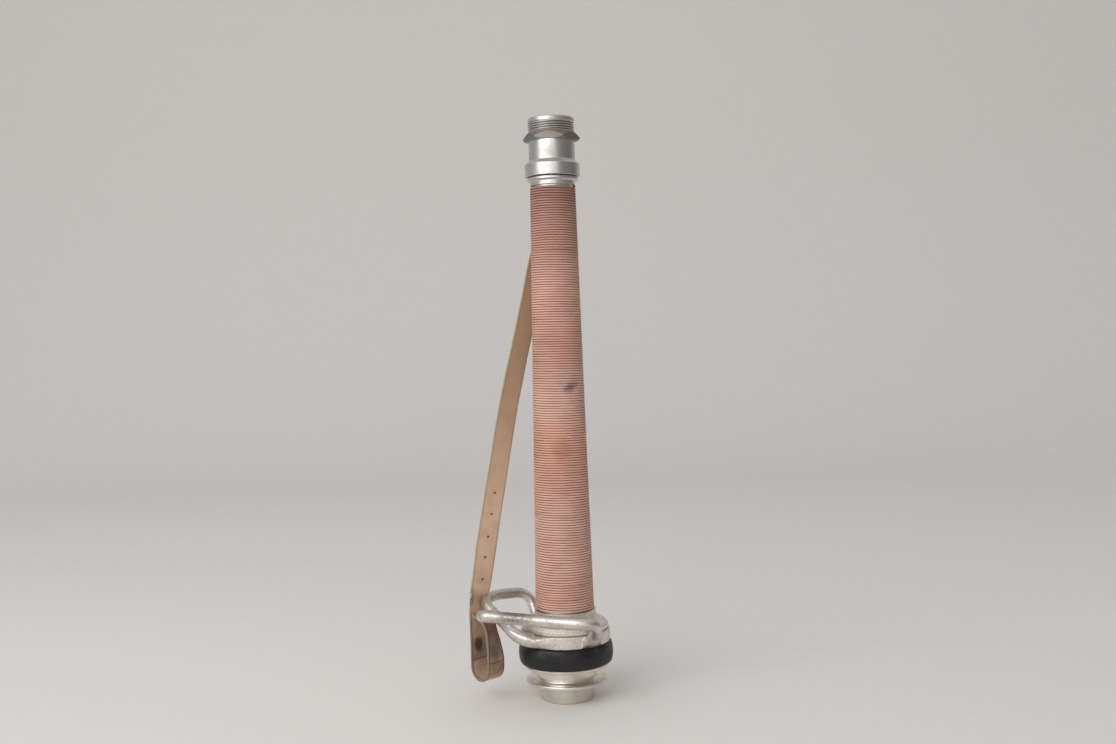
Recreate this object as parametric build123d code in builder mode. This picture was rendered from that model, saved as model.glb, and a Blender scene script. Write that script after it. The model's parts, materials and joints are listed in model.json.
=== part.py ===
# A fire nozzle playpipe that stands upright on its stowage peg.
#
# Millimetres. +Z up along the pipe, origin at the middle of the peg's foot, -Y towards
# the side it is taken from. From the floor up: a turned peg with a sliding release ring,
# the pipe's base coupling with its rubber bumper and cast double grip, a tapered barrel
# wound with cord, and a threaded fitting that takes the nozzle tip. A leather strap runs
# from an eye high on the barrel's far side to the grips, and hangs below them in a fold.
from build123d import *
from math import cos, radians, sin
import os

# Fits and gaps between pieces
SLIP = 0.05         # fixed pieces, one turned to sit in the other
RUNNING_GAP = 0.3   # the release ring over its peg
SEAT_GAP = 0.3      # what only rests near its seat

# Stow peg, a turned spigot that the coupling snaps over
FOOT_R = 31.2
FOOT_H = 19.7
STEM_R = 29.8
RIDGE_R = 34.6
RIDGE_Z = 54.0
RIDGE_H = 2.5
RIDGE_RAMP = 3.0
PEG_TIP_R = 32.4
PEG_TOP_Z = 66.0
PEG_TIP_CLEARANCE = 0.5
PEG_CHAMFER = 1.2
BOLT_HOLE_R = 5.1
BOLT_HOLE_DEPTH = 22.0

# Release ring that slides up the peg into the coupling's mouth
RING_FLANGE_R = 47.5
RING_FLANGE_T = 4.6
RING_SLEEVE_R = 35.4
RING_SLEEVE_TOP_Z = 44.5
SLEEVE_CLEARANCE = 0.8
RING_ROUND = 1.6

# Base coupling. Steps are counted outwards from the hub's own radius.
MOUTH_Z = 39.1
MOUTH_RING_LIP = 3.4
MOUTH_RING_T = 4.1
HUB_R = 46.8
BAND_SEAT_STEP = 1.6
BAND_SEAT_Z = 67.9
SHOULDER_OVERHANG = 2.2
SHOULDER_RIM_H = 3.0
SHOULDER_GAP = 1.0
SHOULDER_TOP_R = 39.0
SHOULDER_TOP_Z = 95.0
TAIL_R = 36.2
TAIL_TOP_Z = 104.9
CAVITY_TOP_Z = 60.0
COUPLING_WATERWAY_R = 28.4

# Rubber bumper round the hub
BUMPER_WALL = 8.8
BUMPER_LIP_WALL = 4.6

# Cast grip ring: a band with a front grip and a rear grip
BAND_CLEARANCE = 0.3
BAND_WALL = 3.6
BAND_H = 14.6
FRONT_GRIP_R = 6.8
REAR_GRIP_R = 6.3
FOOT_PAD_AZIMUTH = 303.0
FOOT_PAD_HALF_W = 10.2
FOOT_PAD_HALF_H = 7.2
ARM_ROOT_AZIMUTH = 229.0
ARM_ROOT_HALF_H = 7.2
ARM_ROOT_HALF_T = 3.0

# Barrel and its cord winding
BARREL_WALL = 3.0
CORD_D = 2.9
WINDING_BASE_R = 34.7
WINDING_TIP_R = 26.9
WINDING_BASE_Z = 105.3
WINDING_TIP_Z = 602.5
BARREL_TAIL_Z = 88.0
NECK_R = 26.6
NECK_H = 6.3
BARREL_FLANGE_R = 29.9
BARREL_FLANGE_T = 2.8
SPIGOT_R = 24.6
SPIGOT_L = 13.0
WATERWAY_R = 20.5

# Tip fitting, with the thread for the nozzle tip
GASKET_T = 1.2
GASKET_R = 28.6
COLLAR_R = 32.5
COLLAR_H = 14.4
COLLAR_BEVEL = 4.8
FITTING_NECK_R = 27.2
FITTING_NECK_H = 23.2
HEX_CORNER_R = 34.0
HEX_H = 8.0
HEX_BEVEL_H = 5.4
HEX_UNDERCUT = 2.3
HEX_TURN = -6.0
THREAD_R = 27.4
THREAD_L = 10.0
LIP_R = 25.4
LIP_H = 3.6
MOUTH_CHAMFER = 1.5

# Strap of flat leather and its eye on the barrel
STRAP_W = 24.4
STRAP_T = 2.8
PUNCH_R = 1.5
PUNCH_PITCH_Z = 25.4
PUNCH_COUNT = 5
PUNCH_TOP_Z = 240.0
EYE_DROP = 17.5         # below the winding's upper end
EYE_W = 6.0
EYE_H = 16.0
EYE_REACH = 13.0
EYE_HOLE_R = 3.2
D_RING_WIRE_R = 2.0
D_RING_W = 30.0
D_RING_H = 16.0

HEM_W = 18.0
HEM_T = 1.6             # the strap's end, pared thin where it folds round the bar

FOLD_ANGLE = 45.0       # how far the hanging fold's flat side is turned from +X
FOLD_REACH = 40.8       # from the grip ring's band to the fold's middle
FOLD_AZIMUTH = 182.5
FOLD_HALF_DEPTH = 14.6  # from the fold's middle to the middle of either side
FOLD_BOTTOM_Z = 24.5
FOLD_BACK_TOP_Z = 104.0


def polar(radius, azimuth, height=0.0):
    """A point at that distance from the pipe's axis."""
    return (radius * cos(radians(azimuth)), radius * sin(radians(azimuth)), height)


def winding_radius(z):
    """The wound barrel's outer radius at a height: one straight taper."""
    share = (z - WINDING_BASE_Z) / (WINDING_TIP_Z - WINDING_BASE_Z)
    return WINDING_BASE_R + share * (WINDING_TIP_R - WINDING_BASE_R)


def tube_radius(z):
    return winding_radius(z) - CORD_D


def by_band(reach, azimuth, rise=0.0):
    """A point that far outside the grip ring's band, and above the band's middle."""
    return Vector(*polar(band_outer_r + reach, azimuth, band_mid_z + rise))


def finish(part, name):
    part.label = name
    export_step(part, f"parts/{name}.step")
    return part


os.makedirs("parts", exist_ok=True)

# Stow peg: a solid turned spigot, bolted to the floor from below
ring_rest_z = FOOT_H + RUNNING_GAP
with BuildPart() as stow_peg:
    with BuildSketch(Plane.XZ):
        with BuildLine():
            Polyline(
                (0, 0),
                (FOOT_R - PEG_CHAMFER, 0),
                (FOOT_R, PEG_CHAMFER),
                (FOOT_R, FOOT_H),
                (STEM_R, FOOT_H),
                (STEM_R, RIDGE_Z),
                (RIDGE_R, RIDGE_Z),
                (RIDGE_R, RIDGE_Z + RIDGE_H),
                (PEG_TIP_R, RIDGE_Z + RIDGE_H + RIDGE_RAMP),
                (PEG_TIP_R, PEG_TOP_Z - PEG_CHAMFER),
                (PEG_TIP_R - PEG_CHAMFER, PEG_TOP_Z),
                (0, PEG_TOP_Z),
                close=True,
            )
        make_face()
    revolve(axis=Axis.Z)
    with Locations(Location((0, 0, 0), (180, 0, 0))):
        Hole(BOLT_HOLE_R, depth=BOLT_HOLE_DEPTH)
finish(stow_peg.part, "stow_peg")

# Release ring: a flange to push with two fingers, and the sleeve that lifts the catches
ring_bore_r = STEM_R + RUNNING_GAP
with BuildPart() as push_ring:
    with BuildSketch(Plane.XZ):
        with BuildLine():
            Polyline(
                (ring_bore_r, ring_rest_z),
                (RING_FLANGE_R, ring_rest_z),
                (RING_FLANGE_R, ring_rest_z + RING_FLANGE_T),
                (RING_SLEEVE_R, ring_rest_z + RING_FLANGE_T),
                (RING_SLEEVE_R, RING_SLEEVE_TOP_Z),
                (ring_bore_r, RING_SLEEVE_TOP_Z),
                close=True,
            )
        make_face()
    revolve(axis=Axis.Z)
    rim = push_ring.edges().filter_by(GeomType.CIRCLE).sort_by(SortBy.RADIUS)[-2:]
    fillet(rim, RING_ROUND)
finish(push_ring.part, "push_ring")

# Mouth ring: screwed into the hub, it holds the bumper up and the catches in
mouth_ring_r = HUB_R + MOUTH_RING_LIP
mouth_bore_r = RING_SLEEVE_R + SLEEVE_CLEARANCE
mouth_ring_top_z = MOUTH_Z + MOUTH_RING_T
with BuildPart() as mouth_ring:
    with BuildSketch(Plane.XZ):
        with BuildLine():
            Polyline(
                (mouth_bore_r, MOUTH_Z),
                (mouth_ring_r, MOUTH_Z),
                (mouth_ring_r, mouth_ring_top_z),
                (mouth_bore_r, mouth_ring_top_z),
                close=True,
            )
        make_face()
    revolve(axis=Axis.Z)
    rim = mouth_ring.edges().filter_by(GeomType.CIRCLE).sort_by(SortBy.RADIUS)[-2:]
    fillet(rim, RING_ROUND)
finish(mouth_ring.part, "mouth_ring")

# Coupling body: hub, band seat, domed shoulder and the tail that takes the barrel
barrel_socket_r = tube_radius(WINDING_BASE_Z) + SLIP
peg_socket_r = PEG_TIP_R + PEG_TIP_CLEARANCE
band_seat_r = HUB_R + BAND_SEAT_STEP
band_base_z = BAND_SEAT_Z + SLIP
band_mid_z = band_base_z + BAND_H / 2
band_inner_r = band_seat_r + BAND_CLEARANCE
band_outer_r = band_inner_r + BAND_WALL
shoulder_r = band_seat_r + SHOULDER_OVERHANG
shoulder_z = band_base_z + BAND_H + SHOULDER_GAP
rim_top_z = shoulder_z + SHOULDER_RIM_H
with BuildPart() as coupling_body:
    with BuildSketch(Plane.XZ):
        with BuildLine():
            Polyline(
                (COUPLING_WATERWAY_R, BARREL_TAIL_Z),
                (COUPLING_WATERWAY_R, PEG_TOP_Z + SLIP),
                (peg_socket_r, PEG_TOP_Z + SLIP),
                (peg_socket_r, CAVITY_TOP_Z),
                (mouth_bore_r, CAVITY_TOP_Z),
                (mouth_bore_r, mouth_ring_top_z),
                (HUB_R, mouth_ring_top_z),
                (HUB_R, BAND_SEAT_Z),
                (band_seat_r, BAND_SEAT_Z),
                (band_seat_r, shoulder_z),
                (shoulder_r, shoulder_z),
                (shoulder_r, rim_top_z),
            )
            ThreePointArc(
                (shoulder_r, rim_top_z),
                ((shoulder_r + SHOULDER_TOP_R) / 2 + 2.2, (rim_top_z + SHOULDER_TOP_Z) / 2 + 2.2),
                (SHOULDER_TOP_R, SHOULDER_TOP_Z),
            )
            Polyline(
                (SHOULDER_TOP_R, SHOULDER_TOP_Z),
                (TAIL_R, SHOULDER_TOP_Z + 1.0),
                (TAIL_R, TAIL_TOP_Z),
                (barrel_socket_r, TAIL_TOP_Z),
                (barrel_socket_r, BARREL_TAIL_Z),
                (COUPLING_WATERWAY_R, BARREL_TAIL_Z),
            )
        make_face()
    revolve(axis=Axis.Z)
finish(coupling_body.part, "coupling_body")

# Bumper: a fat rubber tyre that takes the knocks when the coupling is dropped
bumper_inner_r = HUB_R + SLIP
bumper_lip_r = HUB_R + BUMPER_LIP_WALL
bumper_r = HUB_R + BUMPER_WALL
bumper_top_z = BAND_SEAT_Z - SEAT_GAP
with BuildPart() as bumper_ring:
    with BuildSketch(Plane.XZ):
        with BuildLine():
            Polyline(
                (bumper_lip_r, mouth_ring_top_z),
                (bumper_inner_r, mouth_ring_top_z),
                (bumper_inner_r, bumper_top_z),
                (bumper_lip_r, bumper_top_z),
            )
            ThreePointArc(
                (bumper_lip_r, bumper_top_z),
                (bumper_r, (mouth_ring_top_z + bumper_top_z) / 2),
                (bumper_lip_r, mouth_ring_top_z),
            )
        make_face()
    revolve(axis=Axis.Z)
finish(bumper_ring.part, "bumper_ring")

# Grip ring: one casting, with a band round the coupling and two looped grips. The front
# grip crosses before the barrel. The rear grip loops out to the left and back.
band_mid_r = (band_inner_r + band_outer_r) / 2
bar_end_r = band_inner_r - REAR_GRIP_R - 0.5
# each point: reach beyond the band, azimuth, rise above the band's middle
front_points = [
    by_band(17.6, 299.3, 11.8),
    by_band(44.3, 291.3, 30.2),
    by_band(38.1, 275.1, 31.8),
    by_band(56.7, 205.5, 33.8),
    by_band(29.9, 189.8, 26.0),
]
front_bends = [13.0, 60.0, 9.0]
bar_heading = (front_points[1] - front_points[0]).normalized()
rear_points = [
    polar(bar_end_r, ARM_ROOT_AZIMUTH + 4.0, band_mid_z - 1.0),
    by_band(15.4, 212.6, 8.0),
    by_band(45.6, 175.4, 38.2),
    by_band(41.8, 153.2, 38.8),
    by_band(24.9, 124.0, 36.8),
    by_band(12.8, 123.6, 11.2),
    polar(bar_end_r, 124.0, band_mid_z - 2.0),
]
rear_bends = [24.0, 26.0, 34.0, 19.0, 16.0]
with BuildPart() as handle_ring:
    with BuildSketch(Plane.XY.offset(band_base_z)):
        Circle(band_outer_r)
        Circle(band_inner_r, mode=Mode.SUBTRACT)
    extrude(amount=BAND_H)
    for points, bends, bar_r in (
        (front_points, front_bends, FRONT_GRIP_R),
        (rear_points, rear_bends, REAR_GRIP_R),
    ):
        with BuildLine() as bar_path:
            FilletPolyline(*points, radius=bends)
        with BuildSketch(Plane(origin=bar_path.line @ 0, z_dir=bar_path.line % 0)):
            Circle(bar_r)
        sweep(path=bar_path.line)
    # a round boss where the front grip runs into the rear one
    with Locations(front_points[-1]):
        Sphere(FRONT_GRIP_R + 0.4)
    # the front grip's foot, a paddle that widens onto the band
    with BuildSketch(
        Plane(
            origin=polar(band_outer_r - 1.3, FOOT_PAD_AZIMUTH, band_mid_z),
            x_dir=polar(1.0, FOOT_PAD_AZIMUTH + 90.0),
            z_dir=polar(1.0, FOOT_PAD_AZIMUTH),
        )
    ):
        Ellipse(FOOT_PAD_HALF_W, FOOT_PAD_HALF_H)
    with BuildSketch(
        Plane(
            origin=by_band(9.8, 300.6, 5.2), x_dir=(0.86, 0.5, 0.05), z_dir=(0.36, -0.80, 0.48)
        )
    ):
        Ellipse((FOOT_PAD_HALF_W + FRONT_GRIP_R) / 2, (FOOT_PAD_HALF_H + FRONT_GRIP_R) / 2)
    with BuildSketch(Plane(origin=front_points[0], x_dir=(1, 0.03, 0), z_dir=bar_heading)):
        Circle(FRONT_GRIP_R)
    loft()
    # the rear grip's arm leaves the band along its rim as a tall strip
    arm_root = polar(band_mid_r + 0.8, ARM_ROOT_AZIMUTH + 10.0, band_mid_z)
    with BuildSketch(
        Plane(
            origin=arm_root,
            x_dir=polar(1.0, ARM_ROOT_AZIMUTH + 10.0),
            z_dir=polar(1.0, ARM_ROOT_AZIMUTH - 80.0),
        )
    ):
        Ellipse(ARM_ROOT_HALF_T, ARM_ROOT_HALF_H - 0.7)
    with BuildSketch(
        Plane(
            origin=by_band(10.9, 219.2, 4.0), x_dir=(-0.42, -0.9, 0.0), z_dir=(-0.84, 0.39, 0.37)
        )
    ):
        Ellipse((ARM_ROOT_HALF_T + REAR_GRIP_R) / 2 + 0.6, ARM_ROOT_HALF_H)
    with BuildSketch(
        Plane(
            origin=by_band(18.8, 201.9, 15.2),
            x_dir=(-0.74, -0.67, 0.0),
            z_dir=(-0.59, 0.655, 0.472),
        )
    ):
        Circle(REAR_GRIP_R + 0.2)
    loft()
    # clear what the bars' ends put inside the band, and round the coupling's rim above it
    with BuildSketch(Plane.XY.offset(band_base_z - BAND_H)):
        Circle(band_inner_r)
    extrude(amount=3 * BAND_H, mode=Mode.SUBTRACT)
    with BuildSketch(Plane.XY.offset(band_base_z + BAND_H)):
        Circle(shoulder_r + BAND_CLEARANCE)
    extrude(amount=SHOULDER_TOP_Z - band_base_z - BAND_H, mode=Mode.SUBTRACT)
finish(handle_ring.part, "handle_ring")

# Barrel tube: tapered, with a flange and a threaded spigot for the tip fitting
barrel_bore_base_r = tube_radius(WINDING_BASE_Z) - BARREL_WALL
flange_z = WINDING_TIP_Z + NECK_H
flange_top_z = flange_z + BARREL_FLANGE_T
eye_z = WINDING_TIP_Z - EYE_DROP
spigot_top_z = flange_top_z + SPIGOT_L
with BuildPart() as barrel_tube:
    with BuildSketch(Plane.XZ):
        with BuildLine():
            Polyline(
                (barrel_bore_base_r, BARREL_TAIL_Z + SLIP),
                (tube_radius(WINDING_BASE_Z), BARREL_TAIL_Z + SLIP),
                (tube_radius(WINDING_BASE_Z), WINDING_BASE_Z),
                (tube_radius(WINDING_TIP_Z), WINDING_TIP_Z),
                (NECK_R, WINDING_TIP_Z + SLIP),
                (NECK_R, flange_z - 1.5),
                (BARREL_FLANGE_R, flange_z),
                (BARREL_FLANGE_R, flange_top_z),
                (SPIGOT_R, flange_top_z),
                (SPIGOT_R, spigot_top_z),
                (WATERWAY_R, spigot_top_z),
                (WATERWAY_R, WINDING_TIP_Z),
                (barrel_bore_base_r, WINDING_BASE_Z),
                close=True,
            )
        make_face()
    revolve(axis=Axis.Z)
    # seat for the strap eye's foot
    with BuildSketch(Plane.YZ.offset(-EYE_W / 2)):
        with Locations((tube_radius(eye_z), eye_z)):
            Rectangle(2.4, EYE_H)
    eye_slot = extrude(amount=EYE_W, mode=Mode.PRIVATE)
    add(eye_slot, mode=Mode.SUBTRACT)
finish(barrel_tube.part, "barrel_tube")

# Cord winding: a close single layer, drawn here as the sleeve that its turns fill
with BuildPart() as cord_winding:
    with BuildSketch(Plane.XZ):
        with BuildLine():
            Polyline(
                (tube_radius(WINDING_BASE_Z) + SLIP, WINDING_BASE_Z),
                (WINDING_BASE_R, WINDING_BASE_Z),
                (WINDING_TIP_R, WINDING_TIP_Z),
                (tube_radius(WINDING_TIP_Z) + SLIP, WINDING_TIP_Z),
                close=True,
            )
        make_face()
    revolve(axis=Axis.Z)
    # the winding parts round the strap eye
    with BuildSketch(Plane.YZ.offset(-EYE_W / 2 - SEAT_GAP)):
        with Locations((winding_radius(eye_z), eye_z)):
            Rectangle(4 * CORD_D, EYE_H + 2 * SEAT_GAP)
    extrude(amount=EYE_W + 2 * SEAT_GAP, mode=Mode.SUBTRACT)
finish(cord_winding.part, "cord_winding")

# Gasket between the barrel's flange and the tip fitting
with BuildPart() as tip_gasket:
    with BuildSketch(Plane.XY.offset(flange_top_z)):
        Circle(GASKET_R)
        Circle(SPIGOT_R + SLIP, mode=Mode.SUBTRACT)
    extrude(amount=GASKET_T)
finish(tip_gasket.part, "tip_gasket")

# Tip fitting: collar over the spigot, neck, spanner hexagon and the male thread's stub
collar_z = flange_top_z + GASKET_T
collar_top_z = collar_z + COLLAR_H
socket_top_z = spigot_top_z + SLIP
hex_z = collar_top_z + COLLAR_BEVEL + FITTING_NECK_H
hex_top_z = hex_z + HEX_H
thread_z = hex_top_z + HEX_BEVEL_H
thread_top_z = thread_z + THREAD_L
fitting_top_z = thread_top_z + LIP_H
with BuildPart() as tip_fitting:
    with BuildSketch(Plane.XY.offset(hex_z)):
        RegularPolygon(HEX_CORNER_R, 6, rotation=HEX_TURN)
    extrude(amount=HEX_H + HEX_BEVEL_H)
    # bevels round the hexagon's corners, above and below
    with BuildSketch(Plane.XZ):
        with BuildLine():
            Polyline(
                (0, hex_z),
                (HEX_CORNER_R - HEX_UNDERCUT, hex_z),
                (HEX_CORNER_R, hex_z + HEX_UNDERCUT),
                (HEX_CORNER_R, hex_top_z),
                (THREAD_R, thread_z),
                (0, thread_z),
                close=True,
            )
        make_face()
    revolve(axis=Axis.Z, mode=Mode.INTERSECT)
    with BuildSketch(Plane.XZ):
        with BuildLine():
            Polyline(
                (0, collar_z),
                (COLLAR_R, collar_z),
                (COLLAR_R, collar_top_z),
                (FITTING_NECK_R, collar_top_z + COLLAR_BEVEL),
                (FITTING_NECK_R, thread_z),
                (THREAD_R, thread_z),
                (THREAD_R, thread_top_z),
                (LIP_R, fitting_top_z),
                (0, fitting_top_z),
                close=True,
            )
        make_face()
    revolve(axis=Axis.Z)
    with BuildSketch(Plane.XZ):
        with BuildLine():
            Polyline(
                (0, collar_z),
                (SPIGOT_R + SLIP, collar_z),
                (SPIGOT_R + SLIP, socket_top_z),
                (WATERWAY_R, socket_top_z),
                (WATERWAY_R, fitting_top_z - MOUTH_CHAMFER),
                (WATERWAY_R + MOUTH_CHAMFER, fitting_top_z),
                (0, fitting_top_z),
                close=True,
            )
        make_face()
    revolve(axis=Axis.Z, mode=Mode.SUBTRACT)
finish(tip_fitting.part, "tip_fitting")

# Strap eye: a flat lug let into the barrel's far side, through the winding
eye_root_y = tube_radius(eye_z) - 1.2 + SLIP
eye_tip_y = winding_radius(eye_z) + EYE_REACH
eye_hole_y = eye_tip_y - EYE_HOLE_R - 3.4
with BuildPart() as strap_eye:
    with BuildSketch(Plane.YZ.offset(-EYE_W / 2 + SLIP)):
        with BuildLine():
            Polyline(
                (eye_root_y, eye_z - EYE_H / 2 + SLIP),
                (eye_hole_y, eye_z - EYE_H / 2 + SLIP),
            )
            ThreePointArc(
                (eye_hole_y, eye_z - EYE_H / 2 + SLIP),
                (eye_tip_y, eye_z),
                (eye_hole_y, eye_z + EYE_H / 2 - SLIP),
            )
            Polyline(
                (eye_hole_y, eye_z + EYE_H / 2 - SLIP),
                (eye_root_y, eye_z + EYE_H / 2 - SLIP),
                (eye_root_y, eye_z - EYE_H / 2 + SLIP),
            )
        make_face()
        with Locations((eye_hole_y, eye_z)):
            Circle(EYE_HOLE_R, mode=Mode.SUBTRACT)
    extrude(amount=EYE_W - 2 * SLIP)
finish(strap_eye.part, "strap_eye")

# D-ring: bent wire that hangs in the eye and carries the strap's upper end
d_ring_top_z = eye_z - EYE_HOLE_R + D_RING_WIRE_R + SEAT_GAP
d_half = D_RING_W / 2 - D_RING_WIRE_R
d_bar_z = d_ring_top_z - D_RING_H
with BuildPart() as strap_d_ring:
    with BuildLine() as d_path:
        Line((0, eye_hole_y, d_ring_top_z), (d_half - 5.0, eye_hole_y, d_ring_top_z))
        ThreePointArc(
            (d_half - 5.0, eye_hole_y, d_ring_top_z),
            (d_half - 1.46, eye_hole_y, d_ring_top_z - 1.46),
            (d_half, eye_hole_y, d_ring_top_z - 5.0),
        )
        Line((d_half, eye_hole_y, d_ring_top_z - 5.0), (d_half, eye_hole_y, d_bar_z + 3.0))
        ThreePointArc(
            (d_half, eye_hole_y, d_bar_z + 3.0),
            (d_half - 0.88, eye_hole_y, d_bar_z + 0.88),
            (d_half - 3.0, eye_hole_y, d_bar_z),
        )
        Line((d_half - 3.0, eye_hole_y, d_bar_z), (0, eye_hole_y, d_bar_z))
    with BuildSketch(Plane(origin=(0, eye_hole_y, d_ring_top_z), z_dir=(1, 0, 0))):
        Circle(D_RING_WIRE_R)
    sweep(path=d_path.line)
    mirror(about=Plane.YZ)
finish(strap_d_ring.part, "strap_d_ring")

# Strap: one strip of leather. It folds round the D-ring's bar, runs down past the rear
# grip, and hangs in a long fold with its tail turned back up behind the front grip.
fold_across = Vector(cos(radians(FOLD_ANGLE)), sin(radians(FOLD_ANGLE)), 0)
fold_out = Vector(-sin(radians(FOLD_ANGLE)), cos(radians(FOLD_ANGLE)), 0)
fold_mid = Vector(*polar(band_outer_r + FOLD_REACH, FOLD_AZIMUTH))
back_side = fold_mid + fold_out * FOLD_HALF_DEPTH
hem_inner_r = D_RING_WIRE_R + SEAT_GAP
hem_outer_r = hem_inner_r + HEM_T
strap_top_z = d_bar_z - hem_inner_r
run_top = Vector(-3.2, eye_hole_y + 4.7, strap_top_z - 16.0)
run_end = by_band(47.6, 170.2, 62.8)
# the run between those: share of the way down, how far it bows to -X and to +Y, its turn
RUN_BOWS = [(0.07, 8.7, 0.2, 24.0), (0.48, 10.0, 0.9, 28.0), (0.73, 6.0, 0.3, 20.0)]
# rows: middle of the strap, and how far its flat side is turned from +X
strap_stations = [(Vector(0, eye_hole_y, strap_top_z), 0.0), (run_top, 6.0)]
for share, left, back, turn in RUN_BOWS:
    strap_stations.append((run_top + (run_end - run_top) * share + Vector(-left, back, 0), turn))
strap_stations += [
    (run_end, 7.0),
    (by_band(49.7, 170.5, 55.0), 14.0),
    (by_band(56.7, 174.2, 47.2), 66.0),
    (by_band(56.7, 174.2, 35.8), 66.0),
    (back_side + Vector(0, 0, FOLD_BACK_TOP_Z), FOLD_ANGLE),
]
PUNCH_RUN = 4           # the station where the run with the holes starts
# the fold's tail, edge-on: distance out from the fold's middle, height
tail_points = [
    (-FOLD_HALF_DEPTH, 60.0),
    (-FOLD_HALF_DEPTH + 1.5, 71.0),
    (-FOLD_HALF_DEPTH + 7.0, 82.0),
    (3.0, 92.0),
    (FOLD_HALF_DEPTH - STRAP_T, FOLD_BACK_TOP_Z - 4.0),
]
with BuildPart() as strap:
    middles = [middle for middle, turn in strap_stations]
    for index, (middle, turn) in enumerate(strap_stations):
        before = middles[max(index - 1, 0)]
        after = middles[min(index + 1, len(middles) - 1)]
        along = (before - after).normalized()
        if index == len(middles) - 1:
            along = Vector(0, 0, 1)
        flat = Vector(cos(radians(turn)), sin(radians(turn)), 0)
        across = (flat - along * flat.dot(along)).normalized()
        with BuildSketch(Plane(origin=middle, x_dir=across, z_dir=along)):
            Rectangle(STRAP_W, STRAP_T)
    loft(ruled=True)
    with BuildSketch(Plane.YZ.offset(-HEM_W / 2)):
        with Locations((eye_hole_y, d_bar_z)):
            Circle(hem_outer_r)
    extrude(amount=HEM_W)
    with BuildSketch(Plane.YZ.offset(-STRAP_W)):
        with Locations((eye_hole_y, d_bar_z)):
            Circle(hem_inner_r)
    extrude(amount=2 * STRAP_W, mode=Mode.SUBTRACT)
    # punched holes down the strap's middle, along the straight run above the grips
    run_start, _ = strap_stations[PUNCH_RUN]
    run_stop, punch_turn = strap_stations[PUNCH_RUN + 1]
    punch_out = Vector(sin(radians(punch_turn)), -cos(radians(punch_turn)), 0)
    for index in range(PUNCH_COUNT):
        punch_z = PUNCH_TOP_Z - index * PUNCH_PITCH_Z
        share = (run_start.Z - punch_z) / (run_start.Z - run_stop.Z)
        middle = run_start + (run_stop - run_start) * share
        with BuildSketch(Plane(origin=middle, x_dir=(0, 0, 1), z_dir=punch_out)):
            Circle(PUNCH_R)
        extrude(amount=2 * STRAP_T, both=True, mode=Mode.SUBTRACT)
    # the hanging fold, drawn edge-on and pulled out to the strap's width
    fold_plane = Plane(
        origin=fold_mid - fold_across * (STRAP_W / 2),
        x_dir=fold_out,
        z_dir=fold_across,
    )
    up = 1 if fold_plane.y_dir.Z > 0 else -1
    outer = FOLD_HALF_DEPTH + STRAP_T / 2
    inner = FOLD_HALF_DEPTH - STRAP_T / 2
    turn_z = FOLD_BOTTOM_Z + outer
    with BuildSketch(fold_plane):
        with BuildLine():
            outer_tail = []
            inner_tail = []
            for index, (out, height) in enumerate(tail_points):
                ahead = tail_points[min(index + 1, len(tail_points) - 1)]
                behind = tail_points[max(index - 1, 0)]
                run = Vector(ahead[0] - behind[0], ahead[1] - behind[1], 0).normalized()
                side = Vector(-run.Y, run.X, 0) * (STRAP_T / 2)
                outer_tail.append((out + side.X, up * (height + side.Y)))
                inner_tail.append((out - side.X, up * (height - side.Y)))
            Line((outer, up * FOLD_BACK_TOP_Z), (outer, up * turn_z))
            ThreePointArc((outer, up * turn_z), (0, up * FOLD_BOTTOM_Z), (-outer, up * turn_z))
            Polyline(
                (-outer, up * turn_z),
                *outer_tail,
                (inner, up * (FOLD_BACK_TOP_Z - 1.0)),
                (inner, up * FOLD_BACK_TOP_Z),
                (outer, up * FOLD_BACK_TOP_Z),
            )
        make_face()
        # the room inside the fold
        with BuildLine():
            Polyline(
                (inner, up * turn_z),
                (inner, up * (FOLD_BACK_TOP_Z - 8.0)),
                *inner_tail[::-1],
                (-inner, up * turn_z),
            )
            ThreePointArc(
                (-inner, up * turn_z),
                (0, up * (FOLD_BOTTOM_Z + STRAP_T)),
                (inner, up * turn_z),
            )
        make_face(mode=Mode.SUBTRACT)
    extrude(amount=STRAP_W)
finish(strap.part, "strap")
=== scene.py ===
import json
from math import acos, cos, pi, radians, sin, tan

import bmesh
import bpy
import numpy as np
from mathutils import Matrix, Vector


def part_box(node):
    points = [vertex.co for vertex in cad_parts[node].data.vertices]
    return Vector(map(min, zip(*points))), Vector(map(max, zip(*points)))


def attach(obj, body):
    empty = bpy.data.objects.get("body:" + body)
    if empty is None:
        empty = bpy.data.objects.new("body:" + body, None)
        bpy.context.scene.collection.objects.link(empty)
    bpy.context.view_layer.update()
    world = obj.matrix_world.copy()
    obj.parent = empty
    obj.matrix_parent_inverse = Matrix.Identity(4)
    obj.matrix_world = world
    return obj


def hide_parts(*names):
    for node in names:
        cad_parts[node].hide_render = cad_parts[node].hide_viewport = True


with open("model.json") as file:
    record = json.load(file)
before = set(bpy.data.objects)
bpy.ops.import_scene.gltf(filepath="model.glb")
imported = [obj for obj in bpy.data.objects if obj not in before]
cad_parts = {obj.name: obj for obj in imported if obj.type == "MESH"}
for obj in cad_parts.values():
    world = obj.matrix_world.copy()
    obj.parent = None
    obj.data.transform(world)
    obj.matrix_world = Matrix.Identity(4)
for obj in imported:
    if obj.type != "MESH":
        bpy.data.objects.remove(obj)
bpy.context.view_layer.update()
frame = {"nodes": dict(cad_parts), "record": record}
scene = bpy.context.scene
scene.view_settings.view_transform = "Standard"
MM = 0.001

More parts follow.
